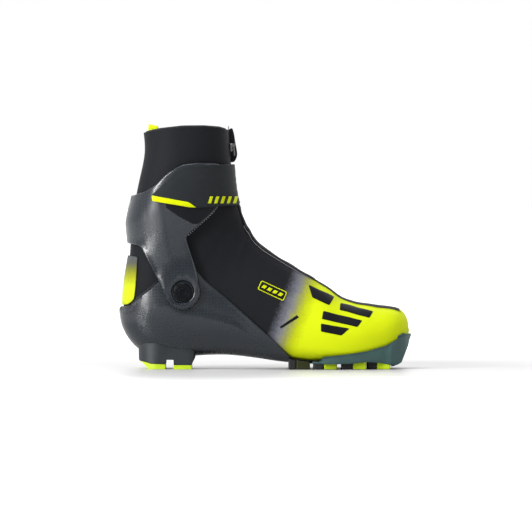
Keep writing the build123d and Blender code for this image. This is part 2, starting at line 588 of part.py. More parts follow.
with BuildPart() as cuff_shell:
    add(cuff_outside)
    for boss in bosses:
        add(boss)
    add(cuff_inside, mode=Mode.SUBTRACT)
    add(cuff_profile.part, mode=Mode.INTERSECT)
    for bore in bores:
        add(bore, mode=Mode.SUBTRACT)
save(cuff_shell, "cuff_shell")

# ---------------------------------------------------------------- strap across the shin
def ring(inner, outer, front_inner, front_outer, *zones):
    """Part of a band round the shaft, between two side offsets and two front offsets."""
    return wall(
        form(outer, outer, front_outer, first=14, last=23),
        form(inner, inner, front_inner, first=13, last=24),
        *zones,
    )


lateral_zone = prism(*STRAP_LATERAL, low=-REACH, high=0)
medial_zone = prism(*STRAP_MEDIAL, low=0, high=REACH)
band_zone = lateral_zone + medial_zone
save(ring(8.2, 9.6, 3.4, 4.3, band_zone), "strap_band")
save(ring(7.0, 7.5, 2.95, 3.05, prism(*LOOP_PATCH, high=0)), "cuff_loop_patch")
save(ring(7.6, 8.1, 3.15, 3.3, prism(*HOOK_PATCH, high=0)), "strap_hook_patch")
save(ring(9.7, 10.4, 4.4, 5.0, prism(*TRIM, high=0)), "strap_trim")

anchor = ring(7.0, 8.4, 2.9, 3.6, prism(*ANCHOR, low=0))
rivet_holes = [sideways(disc(RIVET_R + 0.05, 30), x, z, 35, 1) for x, z in RIVETS]
with BuildPart() as anchor_plate:
    add(anchor.part)
    for hole in rivet_holes:
        add(hole, mode=Mode.SUBTRACT)
save(anchor_plate, "strap_anchor_plate")
rivets = []
for x, z in RIVETS:
    rivets.append(sideways(disc(RIVET_R, RIVET_OUT - RIVET_IN), x, z, RIVET_IN, 1))
    rivets.append(sideways(disc(RIVET_HEAD_R, 1.4), x, z, RIVET_OUT - 0.1, 1))
with BuildPart() as strap_rivets:
    for shape in rivets:
        add(shape)
save(strap_rivets, "strap_rivets")

# ---------------------------------------------------------------- collar flap and pull loop
flap_back = [(x + 0.5, z) for x, z in reversed(HIGHS[20:24]) if 206 < z < 240]
with BuildPart() as zip_flap:
    with BuildSketch(Plane.XZ.offset(-6.2)):
        with BuildLine():
            Polyline(*FLAP_EDGE, *reversed(flap_back), close=True)
        make_face()
    extrude(amount=1.1, both=True)
save(zip_flap, "zip_flap")

loop_hole = prism(*[(1.3 * x + 0.3 * 112.5, z - LOOP_THICK) for x, z in LOOP_EDGE],
                  low=LOOP_THICK - LOOP_HALF, high=LOOP_HALF - LOOP_THICK)
with BuildPart() as pull_loop:
    add(prism(*LOOP_EDGE, low=-LOOP_HALF, high=LOOP_HALF))
    add(loop_hole, mode=Mode.SUBTRACT)
save(pull_loop, "pull_loop")

# ---------------------------------------------------------------- sole
sole_inside = form(0.35, 0.35, 0.35, first=0, last=11)
sole_outside = form(2.8, 1.7, 1.7, first=0, last=10)
lug_cut = form(2.95, 2.95, 2.95, first=0, last=11)
toe_block_zone = prism(*TOE_BLOCK)
with BuildPart() as toe_plan:
    with BuildSketch():
        with BuildLine():
            Polyline(*[(x, y) for x, y in TOE_PLAN], *[(x, -y) for x, y in reversed(TOE_PLAN)], close=True)
        make_face()
    extrude(amount=60)
with BuildPart() as outsole:
    add(wall(sole_outside, sole_inside, prism(*OUTSOLE_EDGE)).part)
    add(toe_block_zone & toe_plan.part)
    add(sole_inside, mode=Mode.SUBTRACT)
    with Locations((140, 0, 4)):
        Box(28, 2 * BAR_SLOT_HALF, 21, mode=Mode.SUBTRACT)
    with Locations(Location((BAR_X, 0, BAR_Z), (90, 0, 0))):
        Cylinder(BAR_R + 0.04, 2 * BAR_HALF + 0.2, mode=Mode.SUBTRACT)
save(outsole, "outsole_forefoot")

with BuildPart() as toe_bar:
    with Locations(Location((BAR_X, 0, BAR_Z), (90, 0, 0))):
        Cylinder(BAR_R, 2 * BAR_HALF)
save(toe_bar, "toe_bar")


def lug_block(x_low, x_high, y_low, y_high):
    """A lug's block from the ground up into the sole, with its walls drafted."""
    with BuildPart() as block:
        with BuildSketch():
            with Locations(((x_low + x_high) / 2, (y_low + y_high) / 2)):
                RectangleRounded(x_high - x_low, y_high - y_low, 1.6)
        extrude(amount=LUG_TOP)
        chamfer(block.edges().group_by(Axis.Z)[0], 0.7)
    return block.part


lugs = []
inserts = []
for x_low, x_high, split, half in LUG_ROWS:
    lugs.append(lug_block(x_low, x_high, -GROOVE_IN, GROOVE_IN))
    for side in BOTH:
        inner, outer = sorted((side * GROOVE_OUT, side * (INSERT_IN - 0.2)))
        lugs.append(lug_block(x_low, x_high, inner, outer))
        inner, outer = sorted((side * INSERT_IN, side * half))
        lugs.append(lug_block(x_low, split - 0.2, inner, outer))
        inserts.append(lug_block(split, x_high, inner, outer))
for name, blocks in (("forefoot_lugs", lugs), ("forefoot_inserts", inserts)):
    cut_blocks = [block - lug_cut for block in blocks]
    with BuildPart() as tread:
        for block in cut_blocks:
            add(block)
    save(tread, name)

heel_cut = form(3.1, 3.1, 3.1, first=9, last=17)
with BuildPart() as heel_plan:
    with BuildSketch():
        with Locations((-98.5, 0)):
            Rectangle(58, 60)
    extrude(amount=60)
    fillet(heel_plan.edges().filter_by(Axis.Z).group_by(Axis.X)[0], 22)
    fillet(heel_plan.edges().filter_by(Axis.Z).group_by(Axis.X)[-1], 6)
HEEL_PIECES = {"heel_block": HEEL_BLOCK, "heel_tread_rear": HEEL_REAR, "heel_tread_front": HEEL_FRONT}
for name, edge in HEEL_PIECES.items():
    zone = prism(*edge)
    with BuildPart() as heel_piece:
        add(heel_plan.part)
        add(zone, mode=Mode.INTERSECT)
        if name == "heel_block":
            add(heel_cut, mode=Mode.SUBTRACT)
    save(heel_piece, name)
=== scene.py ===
import math
import bpy
import numpy as np
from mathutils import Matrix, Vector
from mathutils.geometry import delaunay_2d_cdt


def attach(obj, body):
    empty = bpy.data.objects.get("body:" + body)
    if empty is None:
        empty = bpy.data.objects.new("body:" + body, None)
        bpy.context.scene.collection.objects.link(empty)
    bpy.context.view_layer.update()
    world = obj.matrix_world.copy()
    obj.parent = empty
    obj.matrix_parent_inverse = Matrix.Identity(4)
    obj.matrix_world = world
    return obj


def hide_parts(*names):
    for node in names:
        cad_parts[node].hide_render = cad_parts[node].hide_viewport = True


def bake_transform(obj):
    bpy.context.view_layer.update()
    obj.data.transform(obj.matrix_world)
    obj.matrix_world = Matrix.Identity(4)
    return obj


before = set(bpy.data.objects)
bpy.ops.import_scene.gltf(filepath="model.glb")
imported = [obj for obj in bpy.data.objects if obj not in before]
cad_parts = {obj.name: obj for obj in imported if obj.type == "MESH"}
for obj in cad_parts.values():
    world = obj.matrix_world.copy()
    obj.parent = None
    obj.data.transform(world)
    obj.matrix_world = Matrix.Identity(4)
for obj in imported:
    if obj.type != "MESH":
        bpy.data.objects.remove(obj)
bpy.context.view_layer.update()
MM = 0.001

# ---------------- the foot's form (mm), as in the CAD source
STATIONS = [
    ((143.7, 34.0), (143.9, 42.0), 11.0, 5.5, 0.45, 2.4, 2.4),
    ((141.6, 29.0), (142.7, 49.5), 19.0, 5.5, 0.40, 2.6, 2.3),
    ((136.3, 24.5), (137.4, 57.8), 29.5, 5.5, 0.34, 2.9, 2.4),
    ((126.5, 19.5), (127.3, 61.6), 37.8, 4.8, 0.28, 3.2, 2.5),
    ((112.0, 15.0), (113.0, 63.4), 43.2, 3.5, 0.24, 3.4, 2.4),
    ((95.0, 11.3), (96.5, 65.8), 46.8, 1.5, 0.22, 3.6, 2.2),
    ((77.0, 9.0), (79.5, 70.3), 48.3, -0.3, 0.22, 3.6, 2.0),
    ((57.0, 7.8), (61.5, 82.3), 48.0, -1.5, 0.23, 3.5, 1.9),
    ((35.0, 8.4), (44.0, 92.8), 46.0, -2.0, 0.25, 3.4, 1.85),
    ((11.0, 10.8), (27.0, 102.8), 43.5, -2.0, 0.28, 3.2, 1.85),
    ((-16.0, 14.6), (10.5, 112.8), 41.3, -1.5, 0.31, 3.0, 1.9),
    ((-46.0, 16.8), (-3.0, 122.5), 39.7, -1.0, 0.34, 2.8, 1.95),
    ((-78.0, 15.2), (-12.5, 132.6), 38.7, -0.5, 0.37, 2.7, 2.0),
    ((-107.0, 15.6), (-18.8, 143.6), 38.2, 0.0, 0.40, 2.6, 2.1),
    ((-128.0, 24.5), (-22.9, 153.0), 38.0, 0.0, 0.43, 2.5, 2.2),
    ((-139.8, 45.0), (-25.7, 161.5), 38.0, 0.0, 0.45, 2.4, 2.3),
    ((-142.3, 70.0), (-28.2, 169.5), 38.2, 0.0, 0.46, 2.3, 2.3),
    ((-139.5, 96.0), (-30.4, 177.5), 38.7, 0.0, 0.47, 2.3, 2.3),
    ((-135.6, 120.0), (-32.2, 186.5), 39.4, 0.0, 0.48, 2.3, 2.3),
    ((-133.6, 145.0), (-33.6, 196.5), 40.3, 0.0, 0.49, 2.3, 2.3),
    ((-129.9, 172.0), (-34.7, 207.5), 41.2, 0.0, 0.50, 2.3, 2.3),
    ((-124.3, 198.0), (-35.5, 219.0), 42.0, 0.0, 0.50, 2.3, 2.3),
    ((-121.0, 220.0), (-36.2, 230.0), 42.6, 0.0, 0.50, 2.3, 2.3),
    ((-122.6, 239.0), (-36.8, 241.5), 43.0, 0.0, 0.50, 2.3, 2.3),
    ((-123.4, 247.0), (-37.0, 248.0), 43.0, 0.0, 0.50, 2.3, 2.3),
]
ROWS = np.array([[*b, *t, *rest] for b, t, *rest in STATIONS], float)
LAST = len(STATIONS) - 1


def spline_table(rows, step=0.02):
    """Natural cubic spline through the rows, sampled finely."""
    n = len(rows)
    a = np.zeros((n, n))
    r = np.zeros((n, rows.shape[1]))
    a[0, 0] = a[-1, -1] = 1
    for i in range(1, n - 1):
        a[i, i - 1 : i + 2] = 1, 4, 1
        r[i] = 6 * (rows[i + 1] - 2 * rows[i] + rows[i - 1])
    m = np.linalg.solve(a, r)
    s = np.arange(0, n - 1 + step / 2, step)
    i = np.minimum(s.astype(int), n - 2)
    f = (s - i)[:, None]
    g = 1 - f
    return s, (g * rows[i] + f * rows[i + 1] + ((g**3 - g) * m[i] + (f**3 - f) * m[i + 1]) / 6)


S_TABLE, V_TABLE = spline_table(ROWS)


def look_up(s):
    return np.stack([np.interp(s, S_TABLE, V_TABLE[:, k]) for k in range(V_TABLE.shape[1])], -1)


D_TABLE = np.gradient(V_TABLE[:, :4], S_TABLE, axis=0)


def chord(s, back, front):
    """The two ends of each section in side view, moved outward, and the section's other values."""
    r = look_up(s)
    d = np.stack([np.interp(s, S_TABLE, D_TABLE[:, k]) for k in range(4)], -1)
    nb = np.stack([-d[..., 1], d[..., 0]], -1)
    nt = np.stack([d[..., 3], -d[..., 2]], -1)
    nb /= np.linalg.norm(nb, axis=-1, keepdims=True) + 1e-9
    nt /= np.linalg.norm(nt, axis=-1, keepdims=True) + 1e-9
    return r[..., 0:2] + nb * np.asarray(back)[..., None], r[..., 2:4] + nt * np.asarray(front)[..., None], r


def surface(s, v, back=0.0, side=0.0, front=0.0):
    """Point of the form in mm. v runs from -1 (front line) round the outer side to 0 (back or sole line), and
    on round the inner side to 1."""
    s, v = np.broadcast_arrays(np.asarray(s, float), (np.asarray(v, float) + 1) % 2 - 1)
    low, high, r = chord(s, back, front)
    half, shift, share, lo, hi = (r[..., k] for k in range(4, 9))
    half = half + side
    turn = np.pi * (1 - np.abs(v))
    up, sn = np.cos(turn), np.abs(np.sin(turn))
    top = up >= 0
    power = np.where(top, hi, lo)
    across = sn ** (2 / power) * half
    along = share + np.where(top, 1 - share, -share) * np.abs(up) ** (2 / power)
    x = low[..., 0] + along * (high[..., 0] - low[..., 0])
    z = low[..., 1] + along * (high[..., 1] - low[..., 1])
    return np.stack([x, shift + np.sign(v) * across, z], -1)


def placed(s, v, height, base=(0.0, 0.0, 0.0)):
    """Points at a height along the surface's own normal. base may be a function of s."""
    e = 0.004
    base = base(s) if callable(base) else base
    p = surface(s, v, *base)
    ds = surface(np.clip(s + 0.03, 0, LAST), v, *base) - surface(np.clip(s - 0.03, 0, LAST), v, *base)
    dv = surface(s, v + e, *base) - surface(s, v - e, *base)
    n = np.cross(ds, dv)
    n /= np.linalg.norm(n, axis=-1, keepdims=True) + 1e-12
    return p + n * np.asarray(height)[..., None]


LINE_S = np.arange(0, LAST + 0.01, 0.04)


def lines_at(base=(0.0, 0.0, 0.0), extra=0.0):
    """The back and front lines of an offset form, for finding side-view points on it."""
    back, _, front = base(LINE_S) if callable(base) else base
    flat = np.zeros(len(LINE_S))
    return chord(LINE_S, flat + back + extra, flat + front + extra)[:2]


SKIN = lines_at()


def locate(x, z, side=-1, near=None, lines=SKIN):
    """(s, v) of a side-view point on the form's outer (-1) or inner (+1) side."""
    b, t = lines
    d = t - b
    rel = np.array([x, z]) - b
    cross = d[:, 0] * rel[:, 1] - d[:, 1] * rel[:, 0]
    f = (rel * d).sum(1) / (d * d).sum(1)
    best = None
    for i in np.nonzero(cross[:-1] * cross[1:] <= 0)[0]:
        k = cross[i] / (cross[i] - cross[i + 1] + 1e-12)
        s = LINE_S[i] + k * (LINE_S[i + 1] - LINE_S[i])
        g = f[i] + k * (f[i + 1] - f[i])
        cost = max(0, -g, g - 1) * 10 + (abs(s - near) * 0.05 if near is not None else 0)
        if best is None or cost < best[0]:
            best = (cost, s, g)
    if best is None:
        s, g = (0.0, 0.5) if x > 100 else (float(LAST), 0.5)
    else:
        _, s, g = best
    g = min(1.0, max(0.0, g))
    share, lo, hi = look_up(s)[6:9]
    if g >= share:
        turn = math.acos(min(1, ((g - share) / (1 - share)) ** (hi / 2)))
    else:
        turn = math.pi - math.acos(min(1, ((share - g) / share) ** (lo / 2)))
    return s, side * (1 - turn / math.pi)


def dense(points, step=1.5, closed=True):
    """A polyline with points added so that none are further apart than step."""
    out = []
    pairs = list(zip(points, points[1:] + points[:1])) if closed else list(zip(points, points[1:]))
    for a, b in pairs:
        a, b = np.array(a, float), np.array(b, float)
        n = max(1, int(math.ceil(np.linalg.norm(b - a) / step)))
        out += [tuple(a + (b - a) * k / n) for k in range(n)]
    if not closed:
        out.append(tuple(points[-1]))
    return out


def rounded(points, radius, steps=5, closed=True):
    """Rounds a polyline's corners with small arcs (quadratic)."""
    out = []
    n = len(points)
    for i, p in enumerate(points):
        p = np.array(p, float)
        if not closed and i in (0, n - 1):
            out.append(tuple(p))
            continue
        a, b = np.array(points[i - 1], float), np.array(points[(i + 1) % n], float)
        da, db = np.linalg.norm(a - p), np.linalg.norm(b - p)
        ra, rb = min(radius, da * 0.45), min(radius, db * 0.45)
        pa, pb = p + (a - p) / da * ra, p + (b - p) / db * rb
        for k in range(steps + 1):
            t = k / steps
            out.append(tuple((1 - t) ** 2 * pa + 2 * t * (1 - t) * p + t * t * pb))
    return out


# ---------------- meshes
def link(name, verts, faces, body, smooth=60, material=None, stands_for=()):
    mesh = bpy.data.meshes.new(name)
    mesh.from_pydata([tuple(float(c) * MM for c in v) for v in verts], [], [tuple(int(i) for i in f) for f in faces])
    mesh.validate()
    o = bpy.data.objects.new(name, mesh)
    bpy.context.scene.collection.objects.link(o)
    mesh.polygons.foreach_set("use_smooth", [True] * len(mesh.polygons))
    if smooth:
        mesh.set_sharp_from_angle(angle=math.radians(smooth))
    if body:
        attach(o, body)
    if material:
        mesh.materials.append(material)
    if stands_for:
        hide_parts(*stands_for)
    return o


def ring_faces(rings, n, start=0, wrap=False, flip=False):
    """Quads between neighbouring closed rings of n points; wrap joins the last ring to the first."""
    quads = []
    for i in range(rings if wrap else rings - 1):
        low, high = start + i * n, start + (i + 1) % rings * n
        for k in range(n):
            j = (k + 1) % n
            quads.append((low + k, low + j, high + j, high + k)[:: -1 if flip else 1])
    return quads


def distance_to(points, outline):
    """Distance from each point to the nearest side of a closed outline, or of several."""
    best = np.full(len(points), 1e9)
    for loop in outline:
        for p, q in zip(loop, np.roll(loop, -1, 0)):
            d = q - p
            k = np.clip(((points - p) @ d) / max(d @ d, 1e-12), 0, 1)
            best = np.minimum(best, np.hypot(*(points - p - k[:, None] * d).T))
    return best


def inside(points, loops):
    """Which points lie in the first loop and outside the other loops, which are holes."""
    x, y = points[:, 0], points[:, 1]
    hit = np.zeros(len(points), bool)
    for loop in loops:
        for (xa, ya), (xb, yb) in zip(loop, np.roll(loop, -1, 0)):
            with np.errstate(divide="ignore", invalid="ignore"):
                hit ^= ((ya > y) != (yb > y)) & (x < xa + (y - ya) * (xb - xa) / (yb - ya))
    return hit


def triangulate(loops, points):
    """Points and counter-clockwise triangles that fill an outline less its holes."""
    edges = []
    for p in loops:
        start = len(edges)
        edges += [(start + i, start + (i + 1) % len(p)) for i in range(len(p))]
    done = delaunay_2d_cdt([Vector(p) for p in np.concatenate([*loops, *points])], edges, [], 0, 1e-5)
    flat = np.array([tuple(p) for p in done[0]])
    tri = np.array([f for f in done[2] if len(f) == 3])
    tri = tri[inside(flat[tri].mean(1), loops)]
    area = np.cross(flat[tri[:, 1]] - flat[tri[:, 0]], flat[tri[:, 2]] - flat[tri[:, 0]])
    tri = np.where(area[:, None] > 0, tri, tri[:, ::-1])
    used, renamed = np.unique(tri, return_inverse=True)
    return flat[used], renamed.reshape(tri.shape)


def closed_faces(tri, n):
    """A sheet's top triangles, the same turned over n points on, and the rim between them."""
    sides = [(a, b) for f in tri for a, b in ((f[0], f[1]), (f[1], f[2]), (f[2], f[0]))]
    twice = set(sides)
    rim = [(b, a, a + n, b + n) for a, b in sides if (b, a) not in twice]
    return [tuple(f) for f in tri] + [tuple(f[::-1] + n) for f in tri] + rim


SX, VX = 13.0, 175.0          # mm per unit of s and v, about


def panel(name, loop, base, thick, body, slot, material, edge=1.0, cell=2.6, relief=None, holes=(),
          stands_for=(), smooth=50, lift=0.0, follow=None):
    """A thin part that lies on the form: its outline in (s, v), rounded along its edge."""
    loops = [np.array(p, float) * (SX, VX) for p in (loop, *holes)]
    points = []
    for k, p in enumerate(loops):
        signed = sum((b[0] - a[0]) * (b[1] + a[1]) for a, b in zip(p, np.roll(p, -1, 0)))
        inward = (1 if signed < 0 else -1) * (-1 if k else 1)
        along_edge = np.roll(p, -1, 0) - np.roll(p, 1, 0)
        nrm = np.stack([-along_edge[:, 1], along_edge[:, 0]], -1) * inward
        nrm /= np.linalg.norm(nrm, axis=1, keepdims=True) + 1e-9
        for share in (0.18, 0.5, 1.0):
            ring = p + nrm * edge * share
            points.append(ring[distance_to(ring, loops) > edge * share * 0.86])
    lo, hi = loops[0].min(0), loops[0].max(0)
    grid = np.stack(np.meshgrid(np.arange(lo[0], hi[0], cell), np.arange(lo[1], hi[1], cell)), -1).reshape(-1, 2)
    grid[:, 0] += (np.round((grid[:, 1] - lo[1]) / cell) % 2) * cell * 0.5
    grid = grid[inside(grid, loops)]
    points.append(grid[distance_to(grid, loops) > edge + cell * 0.45])
    flat, tri = triangulate(loops, points)
    far = distance_to(flat, loops)
    share = np.clip(far / edge, 0, 1)
    drop = min(edge, thick) * (1 - np.sqrt(np.clip(1 - (1 - share) ** 2, 0, 1)))
    s, v = np.clip(flat[:, 0] / SX, 0, LAST), flat[:, 1] / VX
    height = lift + thick - drop
    if relief is not None:
        at = surface(s, v, *(base(s) if callable(base) else base))
        height = height + relief(at[:, 0], at[:, 2], s, v, far) * share
    extra = follow(s, v) if follow else 0.0
    top = placed(s, v, height + extra, base)
    bottom = placed(s, v, np.full(len(s), lift) + extra, base)
    faces = closed_faces(tri, len(top))
    o = link(name, np.concatenate([top, bottom]), faces, body, smooth, material, stands_for)
    if Vector(top[tri[0][0]] - bottom[tri[0][0]]).dot(o.data.polygons[0].normal) < 0:
        o.data.flip_normals()
    return o


def wrap_loop(path, lines):
    """A panel that wraps round the back or under the sole: an open side-view path, on both sides."""
    one = [locate(x, z, -1, None, lines) for x, z in path]
    other = [(s, -v) for s, v in reversed(one)]
    return one + other


# ---------------- materials
class Nodes:
    """Short calls for building a node tree."""

    def __init__(self, name):
        self.mat = bpy.data.materials.new(name)
        self.mat.use_nodes = True
        self.tree = self.mat.node_tree
        self.bsdf = next(n for n in self.tree.nodes if n.type == "BSDF_PRINCIPLED")
        coords = self.tree.nodes.new("ShaderNodeTexCoord")
        self.co = coords.outputs["Object"]

    def new(self, kind, inputs=None, out=0, **settings):
        n = self.tree.nodes.new(kind)
        for k, v in settings.items():
            setattr(n, k, v)
        for k, v in (inputs or {}).items():
            self.put(n.inputs[k], v)
        return n.outputs[out]

    def put(self, socket, value):
        if isinstance(value, bpy.types.NodeSocket):
            self.tree.links.new(value, socket)
        elif isinstance(value, (tuple, list)) and len(value) == 3 and socket.type == "RGBA":
            socket.default_value = (*value, 1)
        else:
            socket.default_value = value

    def math(self, op, a, b=0.0, c=0.0, clamp=False):
        return self.new("ShaderNodeMath", {0: a, 1: b, 2: c}, operation=op, use_clamp=clamp)

    def dot(self, direction):
        inputs = {0: self.co, 1: direction}
        return self.new("ShaderNodeVectorMath", inputs, out="Value", operation="DOT_PRODUCT")

    def noise(self, scale, detail=3.0, rough=0.5, stretch=(1.0, 1.0, 1.0)):
        co = self.new("ShaderNodeVectorMath", {0: self.co, 1: stretch}, operation="MULTIPLY")
        return self.new("ShaderNodeTexNoise", {"Vector": co, "Scale": scale, "Detail": detail, "Roughness": rough})

    def ramp(self, value, low, high, stops):
        """Colour stops at places on a value that runs from low to high."""
        n = self.tree.nodes.new("ShaderNodeValToRGB")
        self.put(n.inputs[0], self.span(value, low, high))
        e = n.color_ramp.elements
        e[0].position, e[1].position = [(at - low) / (high - low) for at in (stops[0][0], stops[-1][0])]
        e[0].color, e[1].color = (*stops[0][1], 1), (*stops[-1][1], 1)
        for at, colour in stops[1:-1]:
            e.new((at - low) / (high - low)).color = (*colour, 1)
        return n.outputs[0]

    def mottled(self, amount, color, spread, lift=0.0):
        """The colour, darker and lighter by a share, by an amount from 0 to 1."""
        dark = tuple(c * (1 - spread) for c in color)
        return self.mix(amount, dark, tuple(min(1, c * (1 + spread) + lift) for c in color))

    def mix(self, fac, a, b):
        n = self.tree.nodes.new("ShaderNodeMix")
        n.data_type = "RGBA"
        for i, v in ((0, fac), (6, a), (7, b)):
            self.put(n.inputs[i], v)
        return n.outputs[2]

    def span(self, value, a, b, lo=0.0, hi=1.0):
        return self.new("ShaderNodeMapRange", {0: value, 1: a, 2: b, 3: lo, 4: hi})

    def bump(self, height, strength, distance=0.0002):
        return self.new("ShaderNodeBump", {"Height": height, "Strength": strength, "Distance": distance})

    def finish(self, color, rough, normal=None, shine=0.5, **more):
        inputs = {"Base Color": color, "Roughness": rough, "Specular IOR Level": shine, **more}
        if normal is not None:
            inputs["Normal"] = normal
        for k, v in inputs.items():
            self.put(self.bsdf.inputs[k], v)
        return self.mat


LIME = (0.475, 0.56, 0.0)
LIME_TREAD = (0.38, 0.52, 0.004)
LIME_FILM = (0.43, 0.485, 0.0)
SLATE = (0.00683, 0.01024, 0.01463)
SOLE = (0.028, 0.070, 0.068)
BLACK = (0.0040, 0.0046, 0.0062)
# lime of the rear tread inserts, darkened to olive as painted shade under the boot
LIME_IN_PAINTED_SHADE = (0.021, 0.024, 0.0055)
DUST = (0.16, 0.16, 0.15)
TWILL = 0.0046                        # pitch of the laminate's weave, m
BRUSHED = (300.0, 6000.0, 6000.0)     # stretch of the brush marks
REAR_ROW_END = 0.0465                 # the rear row of tread inserts ends behind this x, m
PRINT_WAY = (0.934, 0.0, -0.359)      # direction in which the vamp's print changes


def weave(m, pitch, slope=0.2):
    """Two sets of threads that cross."""
    k = 2 * math.pi / pitch
    return m.math("MULTIPLY", *(m.math("SINE", m.dot((k * 0.72, q * k * slope, q * k * 0.72))) for q in (1, -1)))


def fabric(name, color, pitch=0.0009, rough=0.82, strength=0.35, spread=0.25, sheen=0.15, kind="weave"):
    m = Nodes(name)
    k = 2 * math.pi / pitch
    if kind == "weave":
        threads = weave(m, pitch)
    elif kind == "rib":
        a = m.math("SINE", m.dot((k * 0.35, k, k * 0.1)))
        threads = m.math("MAXIMUM", a, m.math("SINE", m.dot((k * 0.1, 0.0, k))))
    else:
        a = m.math("SINE", m.dot((k, k * 0.45, 0.0)))
        b = m.math("SINE", m.math("ADD", m.dot((0.0, k * 0.3, k)), m.math("MULTIPLY", a, 0.9)))
        threads = m.math("MULTIPLY", b, b)
    fuzz = m.noise(2600, 2)
    height = m.math("ADD", threads, m.math("MULTIPLY", fuzz, 0.7))
    shade = m.math("ADD", m.span(threads, -1, 1, -0.12, 0.12), m.span(m.noise(38), 0.3, 0.7, -0.1, 0.1))
    colour = m.mottled(m.math("ADD", shade, 0.5, clamp=True), color, spread, 0.004)
    return m.finish(colour, m.span(fuzz, 0.2, 0.8, rough - 0.06, rough + 0.08), m.bump(height, strength, 0.00025),
                    shine=0.14, **{"Sheen Weight": sheen, "Sheen Roughness": 0.4})


def rubber(name, color, rough=0.55, spread=0.14, strength=0.18, dirt=0.1):
    m = Nodes(name)
    cloud = m.noise(55, 4)
    height = m.math("ADD", m.noise(1900, 4, 0.6), m.math("MULTIPLY", cloud, 0.8))
    specks = m.math("MULTIPLY", m.span(m.noise(210, 5, 0.7), 0.62, 0.8), dirt)
    colour = m.mix(specks, m.mottled(m.span(cloud, 0.35, 0.65), color, spread), DUST)
    return m.finish(colour, m.span(cloud, 0.3, 0.7, rough - 0.07, rough + 0.09), m.bump(height, strength), shine=0.4)


def insert_rubber(name):
    """The forefoot inserts: lime, but the rear row is dark olive, painted shade where it lies in shadow under the
    boot.
    """
    m = Nodes(name)
    fine, cloud = m.noise(1900, 4, 0.6), m.noise(55, 4)
    lime = m.mottled(m.span(cloud, 0.35, 0.65), LIME_TREAD, 0.09)
    ahead = m.math("GREATER_THAN", m.dot((1.0, 0.0, 0.0)), REAR_ROW_END)
    # behind REAR_ROW_END the lime gives way to the painted shade
    colour = m.mix(ahead, m.mottled(fine, LIME_IN_PAINTED_SHADE, 0.43), lime)
    return m.finish(colour, m.span(cloud, 0.3, 0.7, 0.43, 0.59), m.bump(fine, 0.12), shine=0.2)


def plastic(name, color, rough=0.4, coat=0.0, strength=0.08, shine=0.3):
    m = Nodes(name)
    cloud = m.noise(70)
    colour = m.mottled(m.span(cloud, 0.35, 0.65), color, 0.08)
    grain = m.bump(m.noise(2400, 3, 0.55), strength, 0.00012)
    return m.finish(colour, m.span(cloud, 0.3, 0.7, rough - 0.05, rough + 0.06), grain, shine=shine,
                    **{"Coat Weight": coat, "Coat Roughness": 0.12})


def metal(name, color, rough=0.32):
    m = Nodes(name)
    lines, cloud = m.noise(1.0, 3, 0.6, stretch=BRUSHED), m.noise(160)
    uneven = m.math("ADD", m.span(lines, 0.3, 0.7, rough - 0.1, rough + 0.08), m.span(cloud, 0.4, 0.7, 0, 0.08))
    colour = m.mottled(m.span(cloud, 0.35, 0.65), color, 0.075)
    return m.finish(colour, uneven, m.bump(lines, 0.12, 0.0001), Metallic=1.0)


def carbon(name, color=SLATE):
    """Painted laminate: a faint twill under satin lacquer."""
    m = Nodes(name)
    k = 2 * math.pi / TWILL
    twill = m.math("MULTIPLY", *(m.math("SIGN", m.math("SINE", m.dot((k * 0.7, q * k * 0.35, q * k * 0.7))))
                                 for q in (1, -1)))
    cloud = m.noise(28)
    shade = m.math("ADD", m.span(twill, -1, 1, 0.42, 0.58), m.span(cloud, 0.3, 0.7, -0.14, 0.14))
    rough = m.math("ADD", m.span(cloud, 0.3, 0.7, 0.23, 0.31), m.span(twill, -1, 1, 0, 0.03))
    fine = m.math("ADD", m.noise(900), m.math("MULTIPLY", twill, 0.05))
    return m.finish(m.mottled(shade, color, 0.385), rough, m.bump(fine, 0.025, 0.0001), shine=0.46,
                    **{"Coat Weight": 0.08, "Coat Roughness": 0.25})


def vamp(name):
    """Softshell whose print runs from black over grey haze to lime, along a slanted line."""
    m = Nodes(name)
    speck = m.span(m.noise(620, 4, 0.75), 0.25, 0.75, -3.2, 3.2)
    coarse = m.span(m.noise(140, 3, 0.6), 0.3, 0.7, -1.2, 1.2)
    ahead = m.math("ADD", m.math("MULTIPLY", m.dot(PRINT_WAY), 1000.0), m.math("ADD", speck, coarse))
    stops = [(-11, BLACK), (-5, (0.060, 0.061, 0.078)), (2, (0.135, 0.137, 0.148)), (7, (0.20, 0.205, 0.055)),
             (14, (0.33, 0.37, 0.002)), (23, LIME)]
    threads = weave(m, 0.00085, 0.4)
    fuzz = m.noise(2800, 2)
    inputs = {0: m.ramp(ahead, -20.0, 40.0, stops), 3: m.span(threads, -1, 1, 0.955, 1.045)}
    colour = m.new("ShaderNodeVectorMath", inputs, operation="SCALE")
    height = m.math("ADD", threads, m.math("MULTIPLY", fuzz, 0.6))
    return m.finish(colour, m.span(fuzz, 0.2, 0.8, 0.6, 0.74), m.bump(height, 0.22), shine=0.13)


def heel_fade(name):
    """Heel rubber that fades from grey at its top to lime below."""
    m = Nodes(name)
    height = m.math("MULTIPLY", m.dot((0.0, 0.0, 1.0)), 1000.0)
    height = m.math("ADD", height, m.span(m.noise(700, 4, 0.7), 0.25, 0.75, -3.0, 3.0))
    stops = [(81.6, (0.39, 0.45, 0.0)), (91.2, (0.24, 0.26, 0.0)), (99.6, (0.12, 0.125, 0.008)),
             (105.6, (0.052, 0.056, 0.042)), (111.6, (0.050, 0.054, 0.056))]
    fine = m.noise(1700, 4, 0.6)
    rough = m.span(fine, 0.3, 0.7, 0.45, 0.6)
    return m.finish(m.ramp(height, 60.0, 120.0, stops), rough, m.bump(fine, 0.15), shine=0.2)


